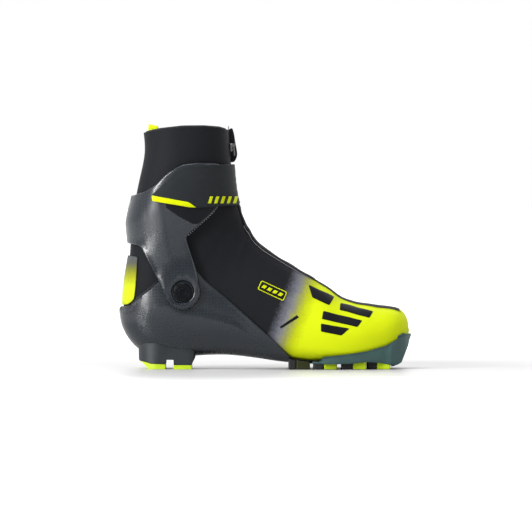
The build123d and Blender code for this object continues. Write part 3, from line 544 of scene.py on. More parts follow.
MAT = {
    "vamp": vamp("vamp_print"),
    "softshell": fabric("softshell", BLACK, 0.0010, 0.8, 0.3, 0.3, 0.03),
    "lining": fabric("lining_knit", (0.012, 0.0125, 0.0145), 0.0026, 0.9, 0.7, 0.4, 0.1, "knit"),
    "tongue": fabric("tongue_knit", (0.014, 0.0145, 0.017), 0.0022, 0.9, 0.6, 0.35, 0.1, "knit"),
    "tape": fabric("zip_tape", (0.006, 0.006, 0.0065), 0.0012, 0.85, 0.5, 0.3, 0.1, "rib"),
    "carbon": carbon("carbon_laminate"),
    # a darker copy of the laminate: painted shade for the seat rings in the recess round each pivot
    "carbon_painted_shade": carbon("carbon_recess_painted_shade", tuple(c * 0.45 for c in SLATE)),
    "heel": heel_fade("heel_fade"),
    "strap": fabric("strap_webbing", (0.0085, 0.0105, 0.0125), 0.0016, 0.62, 0.3, 0.25, 0.03),
    "lime_film": plastic("lime_film", LIME_FILM, 0.42, shine=0.08),
    "lime_web": fabric("lime_webbing", LIME, 0.0013, 0.75, 0.6, 0.22, 0.1, "rib"),
    "black_film": plastic("black_film", (0.0045, 0.0050, 0.0068), 0.42, shine=0.10),
    "hook": fabric("hook_and_loop", (0.006, 0.006, 0.0065), 0.0011, 0.95, 0.9, 0.4, 0.2, "knit"),
    "sole": rubber("sole_rubber", SOLE, 0.5),
    "heel_rubber": rubber("heel_rubber", (0.011, 0.0145, 0.018), 0.45),
    "black_rubber": rubber("black_rubber", (0.006, 0.006, 0.0065), 0.6),
    "lime_rubber": rubber("lime_rubber", LIME_TREAD, 0.5, 0.08, 0.12, 0.06),
    "insert_rubber": insert_rubber("insert_rubber"),
    "steel": metal("brushed_steel", (0.512, 0.521, 0.539)),
    "zip_metal": metal("zip_metal", (0.149, 0.153, 0.158), 0.35),
    "spring": metal("spring_steel", (0.558, 0.558, 0.577), 0.25),
    "bolt": plastic("bolt_black", (0.0022, 0.0030, 0.0042), 0.24, strength=0.04, shine=0.12),
    "bush": plastic("bush_plastic", (0.3, 0.3, 0.28), 0.5),
    "guide": plastic("guide_plastic", (0.02, 0.02, 0.022), 0.45),
    "button": plastic("button_plastic", LIME, 0.35, 0.2),
    "teeth": plastic("zip_teeth", (0.012, 0.012, 0.012), 0.4, 0.1),
    "board": fabric("lasting_board", (0.05, 0.038, 0.025), 0.003, 0.9, 0.3, 0.3, 0.0),
    "footbed": fabric("footbed_felt", (0.035, 0.036, 0.04), 0.0011, 0.95, 0.6, 0.35, 0.4, "knit"),
    "stay": plastic("eyestay_film", (0.02, 0.02, 0.022), 0.5),
    "lace": fabric("lace_braid", (0.42, 0.55, 0.02), 0.0008, 0.8, 0.8, 0.35, 0.1),
    # light thread for the cuff's rim and the placket's edges: painted highlight
    "thread": fabric("painted_highlight_thread", (0.13, 0.13, 0.14), 0.0005, 0.7, 0.6, 0.3, 0.1, "rib"),
}

CAD_LOOK = {
    "lasting_board": "board", "footbed": "footbed", "lace_guides": "guide", "lace": "lace", "lace_lock": "guide",
    "lace_lock_button": "button", "lace_lock_spring": "spring", "pivot_tnuts": "steel", "pivot_bushes": "bush",
    "pivot_washers": "bolt", "pivot_bolts": "bolt", "strap_rivets": "steel", "toe_bar": "steel",
    "forefoot_lugs": "black_rubber", "forefoot_inserts": "insert_rubber", "heel_block": "heel_rubber",
    "heel_tread_rear": "lime_rubber", "heel_tread_front": "lime_rubber", "outsole_forefoot": "sole",
    "zip_slider": "zip_metal", "zip_pull": "zip_metal", "eyestay_lateral": "stay", "eyestay_medial": "stay",
}
for node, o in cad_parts.items():
    o.data.materials.clear()
    o.data.materials.append(MAT[CAD_LOOK.get(node, "softshell")])

# ---------------- softshell upper (vamp, ankle and shaft in one)
TOP_CURVE = [
    (-140, 231.0), (-122.6, 236.4), (-105.8, 239.7), (-82, 242.3), (-60.3, 242.6), (-44.5, 241.6), (-36.6, 239.6),
    (-28, 237.5),
]


def collar_z(x):
    return np.interp(x, *zip(*TOP_CURVE)) - 1.0


def end_station(v, base, extra=0.0):
    """Where the collar's top edge crosses each line of constant v."""
    s = np.arange(21.5, LAST + 0.001, 0.02)
    grid_s, grid_v = np.meshgrid(s, v, indexing="ij")
    p = surface(grid_s, grid_v, *base)
    over = p[..., 2] - collar_z(p[..., 0]) - extra
    out = np.empty(len(v))
    for j in range(len(v)):
        i = np.argmax(over[:, j] > 0) if (over[:, j] > 0).any() else len(s) - 1
        i = max(1, i)
        a, b = over[i - 1, j], over[i, j]
        out[j] = s[i - 1] + (s[i] - s[i - 1]) * (a / (a - b) if a != b else 0)
    return out


def tube(name, base_out, base_in, material, first=0.0, rows=230, across=132, rim=0.8, rise=0.0,
         crinkle=None, puff=None):
    """A sleeve of two walls over the whole form, from a station up to the collar's top edge."""
    v = np.linspace(-1, 1, across, endpoint=False)
    u = np.linspace(0, 1, rows)[:, None]
    end = end_station(v, base_out, rise)
    # rows keep to even stations low down and bend to the collar's edge near the top
    bent = np.clip((u - 0.7) / 0.3, 0, 1)
    bent = bent**2 * (3 - 2 * bent)
    s = (first + (LAST - 1.0 - first) * u) * (1 - bent) + (first + (end - first) * u) * bent
    vv = np.broadcast_to(v, s.shape)
    h = crinkle(s, vv) if crinkle else np.zeros(s.shape)
    outer = placed(s, vv, h, base_out)
    inner = placed(s, vv, h * 0.6 - (puff(s, vv, u + 0 * s) if puff else 0.0), base_in)
    lip = [outer[-1] * k + inner[-1] * (1 - k) + np.array([0, 0, rim * up])
           for k, up in ((0.75, 0.8), (0.5, 1.0), (0.25, 0.8))]

    def dome(ring, depth):
        middle = ring.mean(0)
        return [middle + (ring - middle) * share + np.array([depth * push, 0, 0])
                for share, push in ((0.66, 0.45), (0.33, 0.8), (0.08, 1.0))]

    start = dome(outer[0], 0.9)[::-1]
    rings = [*start, *outer, *lip, *inner[::-1], *dome(inner[0], 0.6)]
    faces = ring_faces(len(rings), across)
    check = (rows // 2 + len(start)) * across + 5
    faces += [tuple(range(across))[::-1], tuple((len(rings) - 1) * across + k for k in range(across))]
    o = link(name, np.concatenate(rings), faces, None, 70, material)
    if Vector(outer[rows // 2, 5] - inner[rows // 2, 5]).dot(o.data.polygons[check].normal) < 0:
        o.data.flip_normals()
    return o


def along(points, x, z):
    """Distance of points to an open polyline in side view: signed (positive on its left) and plain."""
    best = np.full(x.shape, 1e9)
    sign = np.zeros(x.shape)
    for (xa, za), (xb, zb) in zip(points, points[1:]):
        dx, dz = xb - xa, zb - za
        k = np.clip(((x - xa) * dx + (z - za) * dz) / (dx * dx + dz * dz), 0, 1)
        d = np.hypot(x - xa - k * dx, z - za - k * dz)
        near = d < best
        best = np.where(near, d, best)
        sign = np.where(near, np.sign(dx * (z - za) - dz * (x - xa)), sign)
    return best * sign, best


def ridge(value, middle, width):
    """A smooth bump, 1 at the middle."""
    return np.exp(-(((value - middle) / width) ** 2))


# soft pull lines on the sides: the line, its height and its width
RIDGES = [
    ([(-48, 149), (-37, 141), (-30, 131), (-30, 118)], 0.9, 3.4),
    ([(-20, 122), (-13, 111), (-7, 102), (5, 99)], 1.1, 3.6),
    ([(-52, 128), (-40, 117), (-30, 111)], 0.6, 4.5),
    ([(-26, 98), (-16, 88), (-2, 84)], 0.5, 5.0),
]


def folds(s, v):
    """Soft creases where the ankle bends, in front and at the back, and light pull lines."""
    w = (v + 1) % 2 - 1
    front = np.clip((np.abs(w) - 0.45) / 0.45, 0, 1)
    phase = 2.6 * (s - 12.6) + 5 * (1 - np.abs(w))
    crease = ridge(np.sin(phase / 2), 0, 0.45) - 0.45
    h = 1.25 * ridge(s, 12.6, 1.9) * front * crease * (0.6 + 0.4 * np.sin(9 * w + 1.3 * s))
    h += 0.35 * ridge(s, 17.6, 0.8) * np.clip(1 - np.abs(w) / 0.3, 0, 1) * np.sin(7 * s)
    h += 0.12 * np.sin(3.1 * s + 11 * w) * np.clip((s - 5) / 4, 0, 1) * np.clip((22 - s) / 3, 0, 1)
    toe = ridge(s, 6.2, 1.6) * np.clip((np.abs(w) - 0.5) / 0.4, 0, 1)
    h += 0.3 * toe * np.sin(5.3 * s + 3.0 * np.abs(w))
    at = surface(s, v)
    for line, tall, wide in RIDGES:
        h += tall * ridge(along(line, at[..., 0], at[..., 2])[1], 0, wide) * (1 - front)
    return h - 0.25


upper = tube("softshell_upper", (0, 0, 0), (-1.5, -1.5, -1.5), MAT["vamp"], crinkle=folds)
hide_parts("upper_foot", "upper_ankle", "upper_shaft")


def under_board(s, v):
    """1 where the lasting board takes the lining's place, below the foot."""
    low = surface(s, 0 * s)[..., 2]
    return np.clip((10 - (surface(s, v)[..., 2] - low)) / 3, 0, 1) * np.clip(14.5 - s, 0, 1)


def collar_puff(s, v, u):
    ribs = 0.5 * np.sin(u * 60) * np.clip((u - 0.72) / 0.1, 0, 1) * np.clip((1 - u) / 0.05, 0, 1)
    body = 0.7 + 1.6 * ridge(u, 0.95, 0.05) + ribs
    return body * (1 - under_board(s, v)) - 2.45 * under_board(s, v)


lining = tube("lining", (-1.95, -1.95, -2.2), (-4.4, -4.4, -5.2), MAT["lining"], first=1.2,
              rows=180, across=120, rim=1.6, rise=0.4, puff=collar_puff)
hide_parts("lining_foot", "lining_ankle", "lining_shaft")

# ---------------- tongue
def v_at(s, y):
    """v of a point a given distance from the middle, near the front line (y < 0: outer side)."""
    r = look_up(s)
    half, hi, shift = r[4], r[8], r[5]
    off = min(0.999, abs(y - shift) / half)
    turn = math.asin(off ** (hi / 2))
    return -1 + turn / math.pi if y < shift else -1 - turn / math.pi


def front_loop(first, last, half_width):
    """Outline of a strip along the front line, from one station to another; its half width follows the station."""
    s = np.linspace(first, last, max(8, int((last - first) * 8)))
    return [(q, v_at(q, -half_width(q))) for q in s] + [(q, v_at(q, half_width(q))) for q in s[::-1]]


tongue = panel("tongue", front_loop(6.4, 20.4, lambda s: 23 - 4 * max(0, (9 - s) / 3)), (0.0, -8.8, -12.2),
               3.1, None, "tongue_foam", MAT["tongue"], edge=2.4, cell=3.0,
               relief=lambda x, z, s, v, far: 0.5 * np.sin(s * 5.5) * np.clip((far - 3) / 5, 0, 1))
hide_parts("tongue_foot", "tongue_ankle", "tongue_shaft")


# ---------------- carbon chassis
CHASSIS_EDGE = [
    (-146.5, 62.3), (-142.9, 62.3), (-135.4, 63.3), (-129.5, 71.2), (-117.6, 80.1), (-107.8, 89.0),
    (-98.0, 98.0), (-88.0, 103.5), (-74.0, 102.0), (-67.2, 96.9), (-60.3, 89.0), (-38.6, 71.2),
    (-16.8, 51.4), (6.9, 29.7), (22.7, 13.9), (34.0, 3.0),
]


def step(value, width):
    t = np.clip(value / width * 0.5 + 0.5, 0, 1)
    return t * t * (3 - 2 * t)


HEEL_CREASE = [
    (-150, 46), (-121.6, 49.4), (-117.6, 59.3), (-97.9, 67.2), (-84, 58), (-60, 56), (-30, 46), (0, 24), (24, 4),
]
UPPER_BEVEL = [(-146, 55), (-129.5, 63.5), (-117.0, 72.5), (-99.8, 79), (-86, 84)]
SOLE_CREASE = [(-140, 30), (-118, 24), (-90, 23.5), (-50, 25), (-10, 21), (20, 12), (34, 6)]


def behind(v, reach):
    """1 on the back line, falling to 0 a share of v away from it."""
    return np.clip(1 - np.abs((v + 1) % 2 - 1) / reach, 0, 1)


def chassis_relief(x, z, s, v, far):
    side = np.clip((np.abs((v + 1) % 2 - 1) - 0.06) / 0.12, 0, 1)
    heel_side, bevel_side, sole_side = (along(line, x, z)[0] for line in (HEEL_CREASE, UPPER_BEVEL, SOLE_CREASE))
    h = 0.55 * step(-sole_side, 2.2) - 0.75 * step(heel_side, 1.6)
    # the top band behind the arm is cut to a facet that leans back
    h -= np.clip((bevel_side + 9) * 0.13, 0, 1.9) * np.clip((-80 - x) / 8, 0, 1)
    return h * side + 1.5 * ridge(z, 50, 18) * behind(v, 0.35)


chassis_path = dense(rounded(CHASSIS_EDGE, 3.0, 4, closed=False), 1.6, closed=False)
SHELL = (0.35, 0.35, 0.35)
panel("carbon_chassis_shell", wrap_loop(chassis_path, lines_at(SHELL, 1.6)), SHELL, 2.6, "boot", "carbon",
      MAT["carbon"], edge=1.3, cell=2.2, relief=chassis_relief, stands_for=("carbon_chassis",))

# ---------------- heel patch
HEEL_EDGE = [
    (-139.5, 113.0), (-135.9, 113.2), (-127.8, 112.0), (-128.4, 102.1), (-129.8, 83.0), (-131.1, 70.6),
    (-134.0, 67.0), (-138.0, 64.4), (-143.2, 64.0),
]
heel_path = dense(rounded(HEEL_EDGE, 2.0, 4, closed=False), 1.2, closed=False)
panel("heel_patch_rubber", wrap_loop(heel_path, lines_at(SHELL, 0.6)), SHELL, 0.95, "boot", "lime_rubber",
      MAT["heel"], edge=0.6, cell=1.6, stands_for=("heel_patch",))

# ---------------- side walls of the forefoot sole
WALL_TOP = [
    (46, 7.6), (54.4, 7.2), (57.3, 11.9), (82, 14.8), (101.8, 17.8), (121.6, 23.7), (135.4, 31.7), (144, 33.8),
]
WALL_FOOT = [
    (46, 6.6), (50.5, 5.6), (72, 5.2), (88, 6.0), (101, 7.4), (113, 6.6), (124, 4.6), (132, 4.6), (136.4, 7.1),
    (143.4, 23.9),
]
# how far out the wall stands at least, so that the lugs stay behind it
LUG_LINE = [
    (46, 40.2), (48.3, 42.9), (71.8, 43.0), (76.4, 42.0), (100.8, 42.0), (102.0, 38.0), (113.0, 36.6),
    (125.4, 36.2), (131.0, 32.5), (136.0, 28.6), (140.0, 23.9), (143.4, 16.7),
]


SOLE_SKIN = (1.7, 1.7, 1.7)
WALL_THICK = 5.0


def sole_wall(side, tag):
    """The sole's rubber wall, from its top line down to where the lugs stand out."""
    verts = []
    xs = np.linspace(47, LUG_LINE[-1][0], 76)
    lines = lines_at(SOLE_SKIN)
    for x in xs:
        top, foot = (np.interp(x, *zip(*line)) for line in (WALL_TOP, WALL_FOOT))
        s, v = locate(x, top, side, 6.0, lines)
        by_lugs = np.interp(x, *zip(*LUG_LINE))
        y = max(by_lugs, abs(surface(s, v, *SOLE_SKIN)[1]) - 0.15)
        tall = max(0.6, top - foot)
        low = max(by_lugs, y - 0.09 * tall)
        outer = [(y - 0.9, top + 0.35), (y - 0.25, top + 0.2), (y, top - 0.1 * tall)]
        outer += [(y + (low - y) * k, top - tall * k) for k in (0.3, 0.55, 0.8)]
        outer += [(low - 0.1, foot + 0.35), (low - 0.45, foot), (low - WALL_THICK, foot), (y - WALL_THICK, top - 0.6)]
        verts += [(x, side * q, z) for q, z in outer]
    n = len(outer)
    faces = ring_faces(len(xs), n, flip=side < 0)
    faces += [tuple(range(n))[:: -side], tuple((len(xs) - 1) * n + k for k in range(n))[::side]]
    link(f"sole_wall_{tag}", verts, faces, "boot", 50, MAT["sole"])


for side, tag in ((-1, "outer"), (1, "inner")):
    sole_wall(side, tag)

# ---------------- cuff
PIVOT = (-82.1, 76.9)
CUFF_S = np.array([0, 16, 17, 18, 19, 20, 21, 22, 24], float)
CUFF_B = np.array([1.0, 1.0, 1.0, 0.8, 3.2, 2.2, 1.8, 1.5, 1.5])


CUFF_THICK = 2.7


def cuff_base(extra=0.0):
    """The cuff stands off the softshell: at the back, at the sides and in front."""
    return lambda s: (np.interp(s, CUFF_S, CUFF_B) + extra, 3.9 + extra + 0 * s, 0.7 + extra + 0 * s)


ARM_R = 18.4
ARC = [(PIVOT[0] + ARM_R * math.cos(math.radians(a)), PIVOT[1] + ARM_R * math.sin(math.radians(a)))
       for a in range(-150, 21, 10)]
CUFF_EDGE = [
    (-138.4, 125.6), (-137.4, 125.6), (-125.5, 123.6), (-120.6, 116.7), (-115.7, 106.8), (-106.8, 89.0), *ARC,
    (-66.8, 94.9), (-74.8, 117.9), (-78.9, 131.5), (-76.0, 135.5), (-70.2, 140.4),
    (-56.3, 152.3), (-47.4, 161.1), (-46.0, 168.0), (-44.0, 204.0), (-50.0, 206.0), (-68.0, 206.3), (-82.0, 204.6),
    (-90.0, 200.7), (-99.8, 193.8), (-109.7, 183.9), (-120.6, 177.0), (-129.5, 174.4), (-134.4, 173.0),
    (-139.0, 173.0),
]
CUFF_CREASE = [(-108, 178), (-103, 164), (-99.5, 140), (-96, 117), (-90, 98), (-84, 84)]


ARM_FACE = 46.1               # the arm's end is a flat slab, this far from the middle plane


def cuff_relief(x, z, s, v, far):
    d, _ = along(CUFF_CREASE, x, z)
    near = step(24.5 - np.hypot(x - PIVOT[0], z - PIVOT[1]), 11)
    h = (0.5 - 0.5 * step(d, 1.4) - np.clip(-d, 0, 16) * 0.10) * (1 - near) + 1.9 * ridge(z, 148, 20) * behind(v, 0.4)
    out = np.abs(surface(s, v, *cuff_base(CUFF_THICK)(s))[..., 1])
    return h * (1 - near) + near * np.clip(ARM_FACE - out, 0, 3.5)


def circle_loop(cx, cz, r, side, lines, count=48):
    turns = [2 * math.pi * k / count for k in range(count)]
    return [locate(cx + r * math.cos(a), cz + r * math.sin(a), side, 14.5, lines) for a in turns]


cuff_path = dense(rounded(CUFF_EDGE, 2.5, 4, closed=False), 1.5, closed=False)
CUFF_LINES = lines_at(cuff_base(), 1.6)
panel("cuff_shell_carbon", wrap_loop(cuff_path, CUFF_LINES), cuff_base(), CUFF_THICK, "cuff", "carbon", MAT["carbon"],
             edge=1.3, cell=2.2, relief=cuff_relief, stands_for=("cuff_shell",),
             holes=[circle_loop(*PIVOT, 10.4, side, CUFF_LINES) for side in (-1, 1)])


def lathe(name, profile, where, side, body, material, count=72):
    """A ring turned round an axis along Y: profile of (radius, distance out from the middle plane)."""
    verts = []
    for k in range(count):
        a = 2 * math.pi * k / count
        verts += [(where[0] + r * math.cos(a), side * y, where[1] + r * math.sin(a)) for r, y in profile]
    link(name, verts, ring_faces(count, len(profile), wrap=True, flip=side < 0), body, 35, material)


def bevelled(points, r=0.4):
    return rounded(points, r, 3)


BOLT_FACE = 46.9              # just inside the bolt head's face
# seat rings round the pivots in the darker laminate, painted shade under the cuff's arm
for side, tag in ((-1, "outer"), (1, "inner")):
    lathe(f"arm_seat_{tag}", bevelled([(6.7, 42.0), (10.9, 42.0), (10.9, 44.0), (6.7, 44.0)], 0.25),
          PIVOT, side, "cuff", MAT["carbon_painted_shade"])

for side, tag in ((-1, "outer"), (1, "inner")):
    for name, inner, outer, out in (("cap_ring", 5.5, 7.7, 47.65), ("socket_ring", 3.0, 4.3, 47.8)):
        ring = [(inner, BOLT_FACE), (outer, BOLT_FACE), (outer - 0.2, out), (inner + 0.2, out)]
        lathe(f"pivot_{name}_{tag}", bevelled(ring, 0.25), PIVOT, side, "boot", MAT["bolt"])


def highlight_dashes(name, path, side, base, lines, body, material, pitch, long, raised, wide=0.55, tall=0.4):
    """A row of short light threads along a side-view path, laid as a painted highlight."""
    pts = np.array(dense(path, pitch / 4, closed=False))
    run = np.concatenate([[0], np.cumsum(np.hypot(*np.diff(pts, axis=0).T))])
    ball = [(math.cos(a) * math.cos(b), math.sin(a) * math.cos(b), math.sin(b)) for b in (-1.0, -0.5, 0, 0.5, 1.0)
            for a in np.linspace(0, 2 * math.pi, 8, endpoint=False)]
    verts, faces = [], []
    for d in np.arange(pitch / 2, run[-1] - pitch / 3, pitch):
        sv = [locate(np.interp(q, run, pts[:, 0]), np.interp(q, run, pts[:, 1]), side, 17.0, lines)
              for q in (d - 0.4, d, d + 0.4)]
        s, v = np.array(sv).T
        feet = placed(s, v, np.full(3, raised), base)
        out = placed(s, v, np.full(3, raised + 1.0), base)[1] - feet[1]
        go = (feet[2] - feet[0]) / np.linalg.norm(feet[2] - feet[0])
        over = np.cross(out, go)
        i = len(verts)
        verts += [feet[1] + go * x * long / 2 + over * y * wide / 2 + out * z * tall for x, y, z in ball]
        faces += ring_faces(5, 8, start=i)
        faces += [tuple(i + k for k in reversed(range(8))), tuple(i + 32 + k for k in range(8))]
    link(name, verts, faces, body, 80, material)


# outline of a black film on the cuff below the strap, painted shadow of the strap
STRAP_SHADE_FILM = [
    (-99.0, 161.5), (-87.0, 153.0), (-72.2, 145.2), (-66.5, 145.2), (-56.6, 153.6), (-48.6, 161.6),
    (-47.8, 165.5), (-99.0, 167.0),
]

# the cuff arm's front rim, where a row of light threads stands for the rim's painted highlight
EDGE_LINE = [(-77.0, 133.2), (-71.5, 138.6), (-57.8, 150.6), (-49.0, 159.4)]

# ---------------- strap
STRAP_OUTER = [
    (-30.0, 204.7), (-76.1, 203.7), (-89.0, 198.7), (-108.7, 178.0), (-113.6, 174.0), (-112.7, 167.7),
    (-68.2, 161.1), (-26.7, 164.1),
]


STRAP_INNER_LOW = [(-28.5, 163.7), (-60, 162.0), (-69.5, 165.0)]
STRAP_INNER_HIGH = [(-69.5, 200.0), (-60.0, 204.0), (-33.0, 204.7)]
STRAP_END = [(-69.5, 166.5), (-69.5, 198.5)]


def strap_loop():
    """Outer side's outline, carried round the front to the fixed end on the inner side (v beyond -1)."""
    def points(path, side):
        return [locate(x, z, side, 18.5, STRAP_LINES) for x, z in dense(path, 1.6, closed=False)]

    def between(a, b):
        return [(a[0] + (b[0] - a[0]) * k / 12, a[1] + (b[1] - a[1]) * k / 12) for k in range(1, 12)]

    path = points(rounded(STRAP_OUTER, 2.2, 4, closed=False), -1)
    other = [(s, v - 2) for line in (STRAP_INNER_LOW, STRAP_END, STRAP_INNER_HIGH) for s, v in points(line, 1)]
    return path + between(path[-1], other[0]) + other + between(other[-1], path[0])


def strap_base(extra=0.0):
    """The strap stands off the shaft over the cuff and comes down onto the softshell in front."""
    def offsets(s):
        side = STRAP_SIDE + extra + 0 * s
        return side, side, np.interp(s, [14.8, 16.0, 18.0, 20.0], [0.5, 0.7, 2.0, 2.9]) + extra

    return offsets


STRAP_SIDE, STRAP_THICK = 8.2, 1.3
STRAP_BASE = strap_base()
STRAP_LINES = lines_at(STRAP_BASE, 1.0)


def strap_relief(x, z, s, v, far):
    return 0.12 * np.sin(z * 0.9) * np.clip((far - 5) / 3, 0, 1) - 0.25 * ridge(far, 3.2, 0.59)


panel("strap_webbing", strap_loop(), STRAP_BASE, STRAP_THICK, "strap", "strap_fabric", MAT["strap"], edge=0.7,
      cell=1.9, relief=strap_relief, stands_for=("strap_band",))


def patch(name, outline, base, thick, body, slot, look, side=-1, near=None, radius=1.2, edge=0.35, cell=1.8,
          lift=0.0, **more):
    """A panel outlined in side view, on one side of the boot."""
    lines = lines_at(base, lift + thick * 0.6)
    loop = [locate(x, z, side, near, lines) for x, z in dense(rounded(outline, radius, 4), 1.2)]
    panel(name, loop, base, thick, body, slot, MAT[look], edge=edge, cell=cell, lift=lift, **more)


def vamp_print(name, outline, look, thick, lift, radius=0.3, edge=0.15, cell=1.2):
    """A film on the vamp that follows its folds."""
    patch(name, outline, (0.0, 0.0, 0.0), thick, "boot", "softshell", look, radius=radius, edge=edge, cell=cell,
          lift=lift, follow=folds)


for side, tag in ((-1, "outer"), (1, "inner")):
    # black film under the strap: painted shadow
    patch(f"cuff_strap_shade_film_{tag}", STRAP_SHADE_FILM, cuff_base(CUFF_THICK), 0.22, "cuff", "carbon", "black_film", side=side,
          near=17.0, radius=1.5, edge=0.2, cell=2.4, lift=-0.02)
    # light threads along the rim: painted highlight
    highlight_dashes(f"cuff_edge_painted_highlight_{tag}", EDGE_LINE, side, cuff_base(CUFF_THICK + 0.05),
             lines_at(cuff_base(), CUFF_THICK), "cuff", MAT["thread"], pitch=2.6, long=1.7, raised=0.45)
TRIM = [(-113.2, 173.6), (-76.1, 166.9), (-68.6, 161.6), (-75.8, 161.9), (-112.5, 168.0)]
patch("strap_lime_bar", TRIM, strap_base(STRAP_THICK), 0.85, "strap", "lime_trim", "lime_film", near=18.5, radius=0.7,
      stands_for=("strap_trim",))
HOOKS = [(-105.0, 176.5), (-87.0, 194.5), (-66.0, 198.0), (-66.0, 168.0), (-104.0, 171.5)]
LOOPS = [(-107.0, 176.0), (-88.0, 195.5), (-56.0, 199.0), (-56.0, 166.0), (-106.0, 170.5)]
ANCHOR = [(-88.0, 169.0), (-88.0, 196.0), (-71.2, 200.0), (-71.2, 165.0)]
patch("strap_hooks", HOOKS, (7.55, 7.55, 2.95), 0.55, "strap", "hook_loop", "hook", near=18.5,
      stands_for=("strap_hook_patch",))
patch("cuff_loops", LOOPS, (6.65, 6.65, 2.6), 0.65, "cuff", "hook_loop", "hook", near=18.5,
      stands_for=("cuff_loop_patch",))
patch("strap_anchor", ANCHOR, (6.7, 6.7, 2.4), 1.7, "cuff", "strap_fabric", "strap", side=1, near=18.5,
      radius=2.5, edge=0.6, stands_for=("strap_anchor_plate",))
# slanted marks on the strap, in place of lettering
for k in range(5):
    x = -57.0 + 6.2 * k
    slash = [(x, 165.6), (x + 3.0, 165.6), (x + 5.2, 172.6), (x + 2.2, 172.6)]
    patch(f"strap_slash_{k}", slash, strap_base(STRAP_THICK - 0.05), 0.3, "strap", "lime_trim", "lime_film",
          near=18.5, radius=0.3, edge=0.15, cell=1.2)

# ---------------- print overlays on the vamp
BARS = [
    [(43.5, 84.5), (69.5, 72.5), (64.0, 64.0), (47.0, 72.0)],
    [(75.5, 66.5), (108.0, 58.0), (104.0, 51.5), (74.5, 59.5)],
    [(58.0, 58.5), (97.0, 49.0), (92.0, 42.5), (56.5, 50.5)],
    [(55.5, 46.0), (84.0, 41.0), (76.0, 34.0), (55.5, 38.0)],
]
for k, outline in enumerate(BARS):
    vamp_print(f"vamp_bar_{k}", outline, "black_film", 0.25, 0.12, radius=1.2, edge=0.2, cell=2.2)
vamp_print("vamp_slash", [(31.8, 54.4), (33.6, 52.0), (15.9, 40.9), (14.3, 42.6)], "black_film", 0.2, 0.12)
# middle line of a small slanted badge
BADGE_A, BADGE_B = np.array([-5.6, 84.6]), np.array([20.2, 72.6])
BADGE_LONG = (BADGE_B - BADGE_A) / np.linalg.norm(BADGE_B - BADGE_A)
BADGE_UP = np.array([-BADGE_LONG[1], BADGE_LONG[0]])


def badge_box(a, b, low, high, slant=0.0):
    """A box in the badge's own directions: shares along it and mm across it."""
    corners = [(a, low, 0.0), (b, low, 0.0), (b, high, slant), (a, high, slant)]
    return [tuple(BADGE_A + (BADGE_B - BADGE_A) * k + BADGE_LONG * shift + BADGE_UP * q) for k, q, shift in corners]


vamp_print("badge_rim", badge_box(0, 1, -4.9, 4.9), "lime_film", 0.3, 0.12, radius=2.0, edge=0.2, cell=1.6)
vamp_print("badge_field", badge_box(0.03, 0.97, -4.1, 4.1), "black_film", 0.3, 0.25, radius=1.5, cell=1.6)
for k in range(4):
    hatch = badge_box(0.10 + 0.21 * k, 0.23 + 0.21 * k, -1.7, 1.7, 1.2)
    vamp_print(f"badge_hatch_{k}", hatch, "lime_film", 0.25, 0.45, edge=0.1, cell=1.0)

# ---------------- toe strip, placket over the zip, and flap
def toe_half(s):
    return float(np.interp(s, [1.6, 2.6, 4, 6, 7.6], [7, 13.5, 15.5, 13.5, 11.5]))


panel("toe_line", front_loop(2.05, 7.75, lambda s: toe_half(s) + 1.5), (0.1, 0.1, 0.1), 0.22, "boot", "softshell",
      MAT["lime_film"], edge=0.15, cell=3.0, follow=folds)
panel("toe_strip", front_loop(2.2, 7.75, toe_half), (0.3, 0.3, 0.3), 0.3, "boot", "softshell", MAT["softshell"],
      edge=0.2, cell=3.0, follow=folds)


def placket_half(s):
    return 10.6 - 2.0 * np.clip((s - 8) / 6, 0, 1)


def placket_relief(x, z, s, v, far):
    """A stitched groove inside the edge and soft waves along the middle."""
    return 0.25 * np.sin(s * 4.3) * np.clip((far - 4) / 3, 0, 1) - 0.35 * ridge(far, 2.4, 0.55)


placket = panel("zip_placket", front_loop(7.45, 19.6, placket_half), (0.1, 0.1, 0.1), 1.0, None, "softshell",
                MAT["softshell"], edge=0.9, cell=2.4, follow=folds, relief=placket_relief)


def cord_mesh(name, points, radius, material, count=8):
    """A thin raised thread through mm points."""
    pts = np.array(points, float)
    way = np.gradient(pts, axis=0)
    way /= np.linalg.norm(way, axis=1, keepdims=True) + 1e-9
    verts = []
    for p, d in zip(pts, way):
        a = np.cross(d, (0.0, 1.0, 0.0) if abs(d[1]) < 0.9 else (1.0, 0.0, 0.0))
        a /= np.linalg.norm(a)
        turns = [2 * math.pi * k / count for k in range(count)]
        verts += [p + radius * (math.cos(w) * a + math.sin(w) * np.cross(d, a)) for w in turns]
    faces = ring_faces(len(pts), count)
    faces += [tuple(range(count))[::-1], tuple((len(pts) - 1) * count + k for k in range(count))]
    return link(name, verts, faces, None, 80, material)


# light threads just outside the placket's edges, painted highlight of those edges
for side, tag in ((-1, "outer"), (1, "inner")):
    pts = []
    for s in np.linspace(7.9, 13.2, 70):
        at = np.array([s]), np.array([v_at(s, side * (placket_half(s) + 1.5))])
        pts.append(placed(*at, 0.5 + folds(*at))[0])
    o = cord_mesh(f"placket_edge_highlight_{tag}", pts, 0.4, MAT["thread"])
    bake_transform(o)

# zip teeth along the front, above the placket's end and under it
TOOTH_LONG, TOOTH_WIDE, TOOTH_TALL, TOOTH_PITCH = 0.36, 0.85, 0.45, 1.05
BOX = [(0, 1, 3, 2), (4, 6, 7, 5), (0, 4, 5, 1), (2, 3, 7, 6), (0, 2, 6, 4), (1, 5, 7, 3)]


